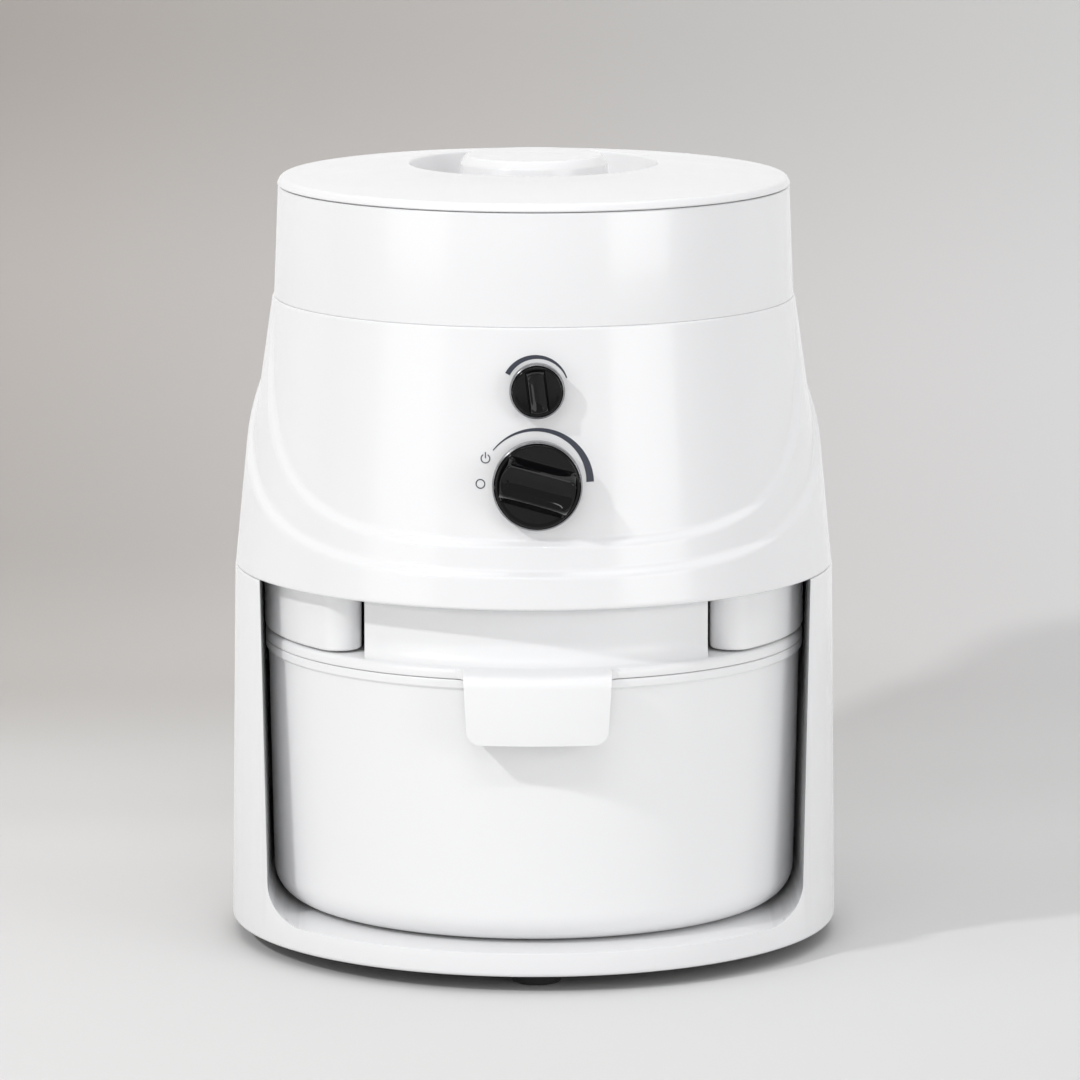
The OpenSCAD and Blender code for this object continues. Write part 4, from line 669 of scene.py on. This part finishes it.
def pull_handle():
    """A curved plate that hangs in front of the bowl's rim, hollow behind, with flared roots."""
    skirt, under, wall = 100, FLANGE_TOP - 3, 3
    outline = rounded([(-32.6, FLANGE_TOP + 3, 0), (-30.55, HANDLE_LOW, 6), (30.55, HANDLE_LOW, 6),
                       (32.6, FLANGE_TOP + 3, 0)], steps=8)
    block = prism("pull_handle", outline, -150, -118, front, "bowl", white_bowl,
                  ("bowl_lid",))
    outer = rounded([(112, skirt, 0), (HANDLE_R, skirt, 0), (HANDLE_R, FLANGE_TOP - 0.8, 5.5),
                     (118, FLANGE_TOP, 0), (112, FLANGE_TOP, 0)], steps=10)
    combine(block, around_bowl("round", outer), "INTERSECT")
    below = [(100, skirt), (HANDLE_GAP_R, skirt), (HANDLE_GAP_R, FLANGE_Z), (100, FLANGE_Z)]
    combine(block, around_bowl("below", below), "DIFFERENCE")
    inside = rounded([(-28.9, under, 2), (-27.6, skirt, 0), (27.6, skirt, 0), (28.9, under, 2)])
    hollow = prism("hollow", inside, -150, -118, front)
    depth = rounded([(HANDLE_GAP_R, skirt, 0), (HANDLE_R - wall, skirt, 0),
                     (HANDLE_R - wall, under, 2), (HANDLE_GAP_R, under, 0)])
    combine(hollow, around_bowl("depth", depth), "INTERSECT")
    combine(block, hollow, "DIFFERENCE")
    soften(block, 1.4, segments=4, angle=40)
    flare, side = 5.0, 32.2
    centre = (side + flare, -math.sqrt((RIM_R + flare) ** 2 - (side + flare) ** 2))
    start = math.atan2(-centre[1], -centre[0])
    fillet = [(centre[0] + flare * math.cos(start + (math.pi - start) * i / 10),
               centre[1] + flare * math.sin(start + (math.pi - start) * i / 10)) for i in range(11)]
    fillet += [(side - 1.5, centre[1]), (side - 1.5, -112), (side + 2, -112)]
    for sign in (-1, 1):
        root = prism("handle_root", fillet, FLANGE_Z, FLANGE_TOP - 0.1,
                     lambda u, v, w: (sign * u, v + BOWL_Y, w), material=white_bowl)
        soften(root, 0.5, segments=3, angle=50)
        combine(block, root, "UNION")


bowl_lid()
pull_handle()


# ---- Knobs ----

def knob_section(face, depth, bar_half, foot_half, dish):
    """Cross section of the grip bar: flanks that sweep up from the disc, and a dished top."""
    base, flank_steps, top_steps = face - 0.9, 14, 6
    line = [(-foot_half, face - 2.5)]
    for i in range(flank_steps + 1):
        line.append((-foot_half + (foot_half - bar_half) * i / flank_steps,
                     base + (depth - base) * smooth(i / flank_steps)))
    for i in range(1, 2 * top_steps):
        v = -bar_half + bar_half * i / top_steps
        line.append((v, depth - dish * (1 - (v / bar_half) ** 2)))
    return line + [(-v, w) for v, w in line[flank_steps::-1]] + [(foot_half, face - 2.5)]


def knob(name, centre_z, back, r, depth, bar_half, foot_half, dish, angle, body):
    """A disc with a grip bar whose flanks slope out to the disc; w runs out from the housing."""
    turn = math.radians(angle)

    def to_space(u, v, w):
        return (u * math.cos(turn) - v * math.sin(turn), -(back + w),
                centre_z + u * math.sin(turn) + v * math.cos(turn))

    in_r = r - RING_T - 0.05
    disc = rounded([(0, 0, 0), (in_r, 0, 0), (in_r, KNOB_FACE, 1.1),
                    (in_r - 2.2, KNOB_FACE - 0.5, 1), (0, KNOB_FACE - 0.9, 0)], closed=False)
    verts, faces = lathe_data(disc, 128)
    new_object(name + "_disc", [to_space(*v) for v in verts], faces, body,
               knob_black, (name,))
    rows, reach = 56, in_r - 0.5
    verts, faces = [], []
    for i in range(rows + 1):
        t = -math.cos(math.pi * i / rows)
        for v, w in knob_section(KNOB_FACE, depth, bar_half, foot_half, dish * (1 - t ** 6)):
            lean = 1.4 * max(0.0, w - KNOB_FACE) / (depth - KNOB_FACE)
            half = math.sqrt(max((reach - lean) ** 2 - v * v, 0.0))
            drop = 1.6 * abs(t) ** 16 if w > KNOB_FACE + 1 else 0
            verts.append(to_space(t * half, v, w - drop))
    width = len(verts) // (rows + 1)
    for i in range(rows):
        for k in range(width - 1):
            a = i * width + k
            faces.append((a, a + 1, a + width + 1, a + width))
    faces.append(tuple(range(width)))
    faces.append(tuple(range(rows * width + width - 1, rows * width - 1, -1)))
    new_object(name + "_bar", verts, faces, body, knob_black, (name,), sharp=50)
    return to_space


def ring(name, centre_z, back, r, body, replaces):
    """The bright ring around a knob's disc."""
    profile = rounded([(r - RING_T, 0, 0), (r, 0, 0.2), (r, RING_H - 0.45, 0.5),
                       (r - RING_T / 2, RING_H, 0.3), (r - RING_T, RING_H - 0.35, 0.2)])
    verts, faces = lathe_data(profile, 160)
    new_object(name, [(x, -(back + z), centre_z + y) for x, y, z in verts], faces, body,
               knob_trim, (replaces,))


feed_back = skin(FEED_Z - FEED_R) + KNOB_GAP
motor_back = skin(MOTOR_Z - MOTOR_R) + KNOB_GAP
feed_space = knob("feed_knob", FEED_Z, feed_back, FEED_R, depth=13.4, bar_half=6.0,
                  foot_half=11.2, dish=2.6, angle=-15.5, body="feed_control")
knob("motor_knob", MOTOR_Z, motor_back, MOTOR_R, depth=10.3, bar_half=3.3,
     foot_half=4.7, dish=1.5, angle=97, body="motor_control")
ring("feed_ring", FEED_Z, feed_back, FEED_R, "feed_control", "feed_knob_ring")
ring("motor_ring", MOTOR_Z, motor_back, MOTOR_R, "motor_control", "motor_knob_ring")
pip_verts, pip_faces = lathe_data([(1.25, 0), (1.5, 0.35), (1.8, 0.35), (2.05, 0)], 32)
new_object("feed_pip", [feed_space(x - 14.5, y - 1.4, z + 11.4) for x, y, z in pip_verts],
           pip_faces, "feed_control", knob_black, ("feed_knob",))


# ---- Printed marks ----

def printed(name, outer, inner, closed):
    """A thin strip between two lines of (x, z), laid on the housing."""
    sunk, proud = 0.02, 0.14
    verts, faces = [], []
    for lift in (sunk, proud):
        for line in (outer, inner):
            for x, z in line:
                angle = math.asin(x / (skin(z) + 0.1))
                r = housing_r(angle, z) + lift
                verts.append((r * math.sin(angle), -r * math.cos(angle), z))
    n = len(outer)
    last = n if closed else n - 1
    for i in range(last):
        j = (i + 1) % n
        faces.append((i, j, n + j, n + i))
        faces.append((2 * n + i, 2 * n + j, 3 * n + j, 3 * n + i))
        faces.append((i, j, 2 * n + j, 2 * n + i))
        faces.append((n + i, n + j, 3 * n + j, 3 * n + i))
    if not closed:
        for i in (0, n - 1):
            faces.append((i, n + i, 3 * n + i, 2 * n + i))
    new_object(name, verts, faces, "root", print_ink)


def arc_mark(name, centre, start, stop, inner, outer):
    """A band from start to stop in degrees; inner and outer give its radii at a share of the way."""
    steps = 60
    lines = ([], [])
    for i in range(steps + 1):
        t = i / steps
        a = math.radians(start + (stop - start) * t)
        for line, radius in zip(lines, (outer(t), inner(t))):
            line.append((centre[0] + radius * math.cos(a), centre[1] + radius * math.sin(a)))
    printed(name, lines[0], lines[1], False)


MARK_R, STROKE = 2.1, 0.42


def circle_mark(name, centre, gap=0):
    """A thin circle, open by a gap in degrees on either side of its top."""
    steps = 48
    count = steps + 1 if gap else steps
    angles = [math.radians(90 + gap + (360 - 2 * gap) * i / steps) for i in range(count)]
    outer, inner = [[(centre[0] + r * math.cos(a), centre[1] + r * math.sin(a)) for a in angles]
                    for r in (MARK_R, MARK_R - STROKE)]
    printed(name, outer, inner, gap == 0)


def power_mark(x, z):
    circle_mark("power_mark", (x, z), gap=30)
    outer, inner = [[(x + side * STROKE / 2, z + 0.2), (x + side * STROKE / 2, z + 2.8)]
                    for side in (-1, 1)]
    printed("power_stroke", outer, inner, False)


arc_mark("motor_scale", (0.1, MOTOR_Z - 0.2), 152, 22,
         inner=lambda t: 13.5, outer=lambda t: 15.7 - 1.7 * t ** 1.5)
arc_mark("feed_scale", (0.3, FEED_Z - 0.1), 143, 2,
         inner=lambda t: 24.0 - 2.9 * t, outer=lambda t: 24.4)
circle_mark("off_mark", (-24.6, FEED_Z - 0.2))
power_mark(-22.4, FEED_Z + 10.8)
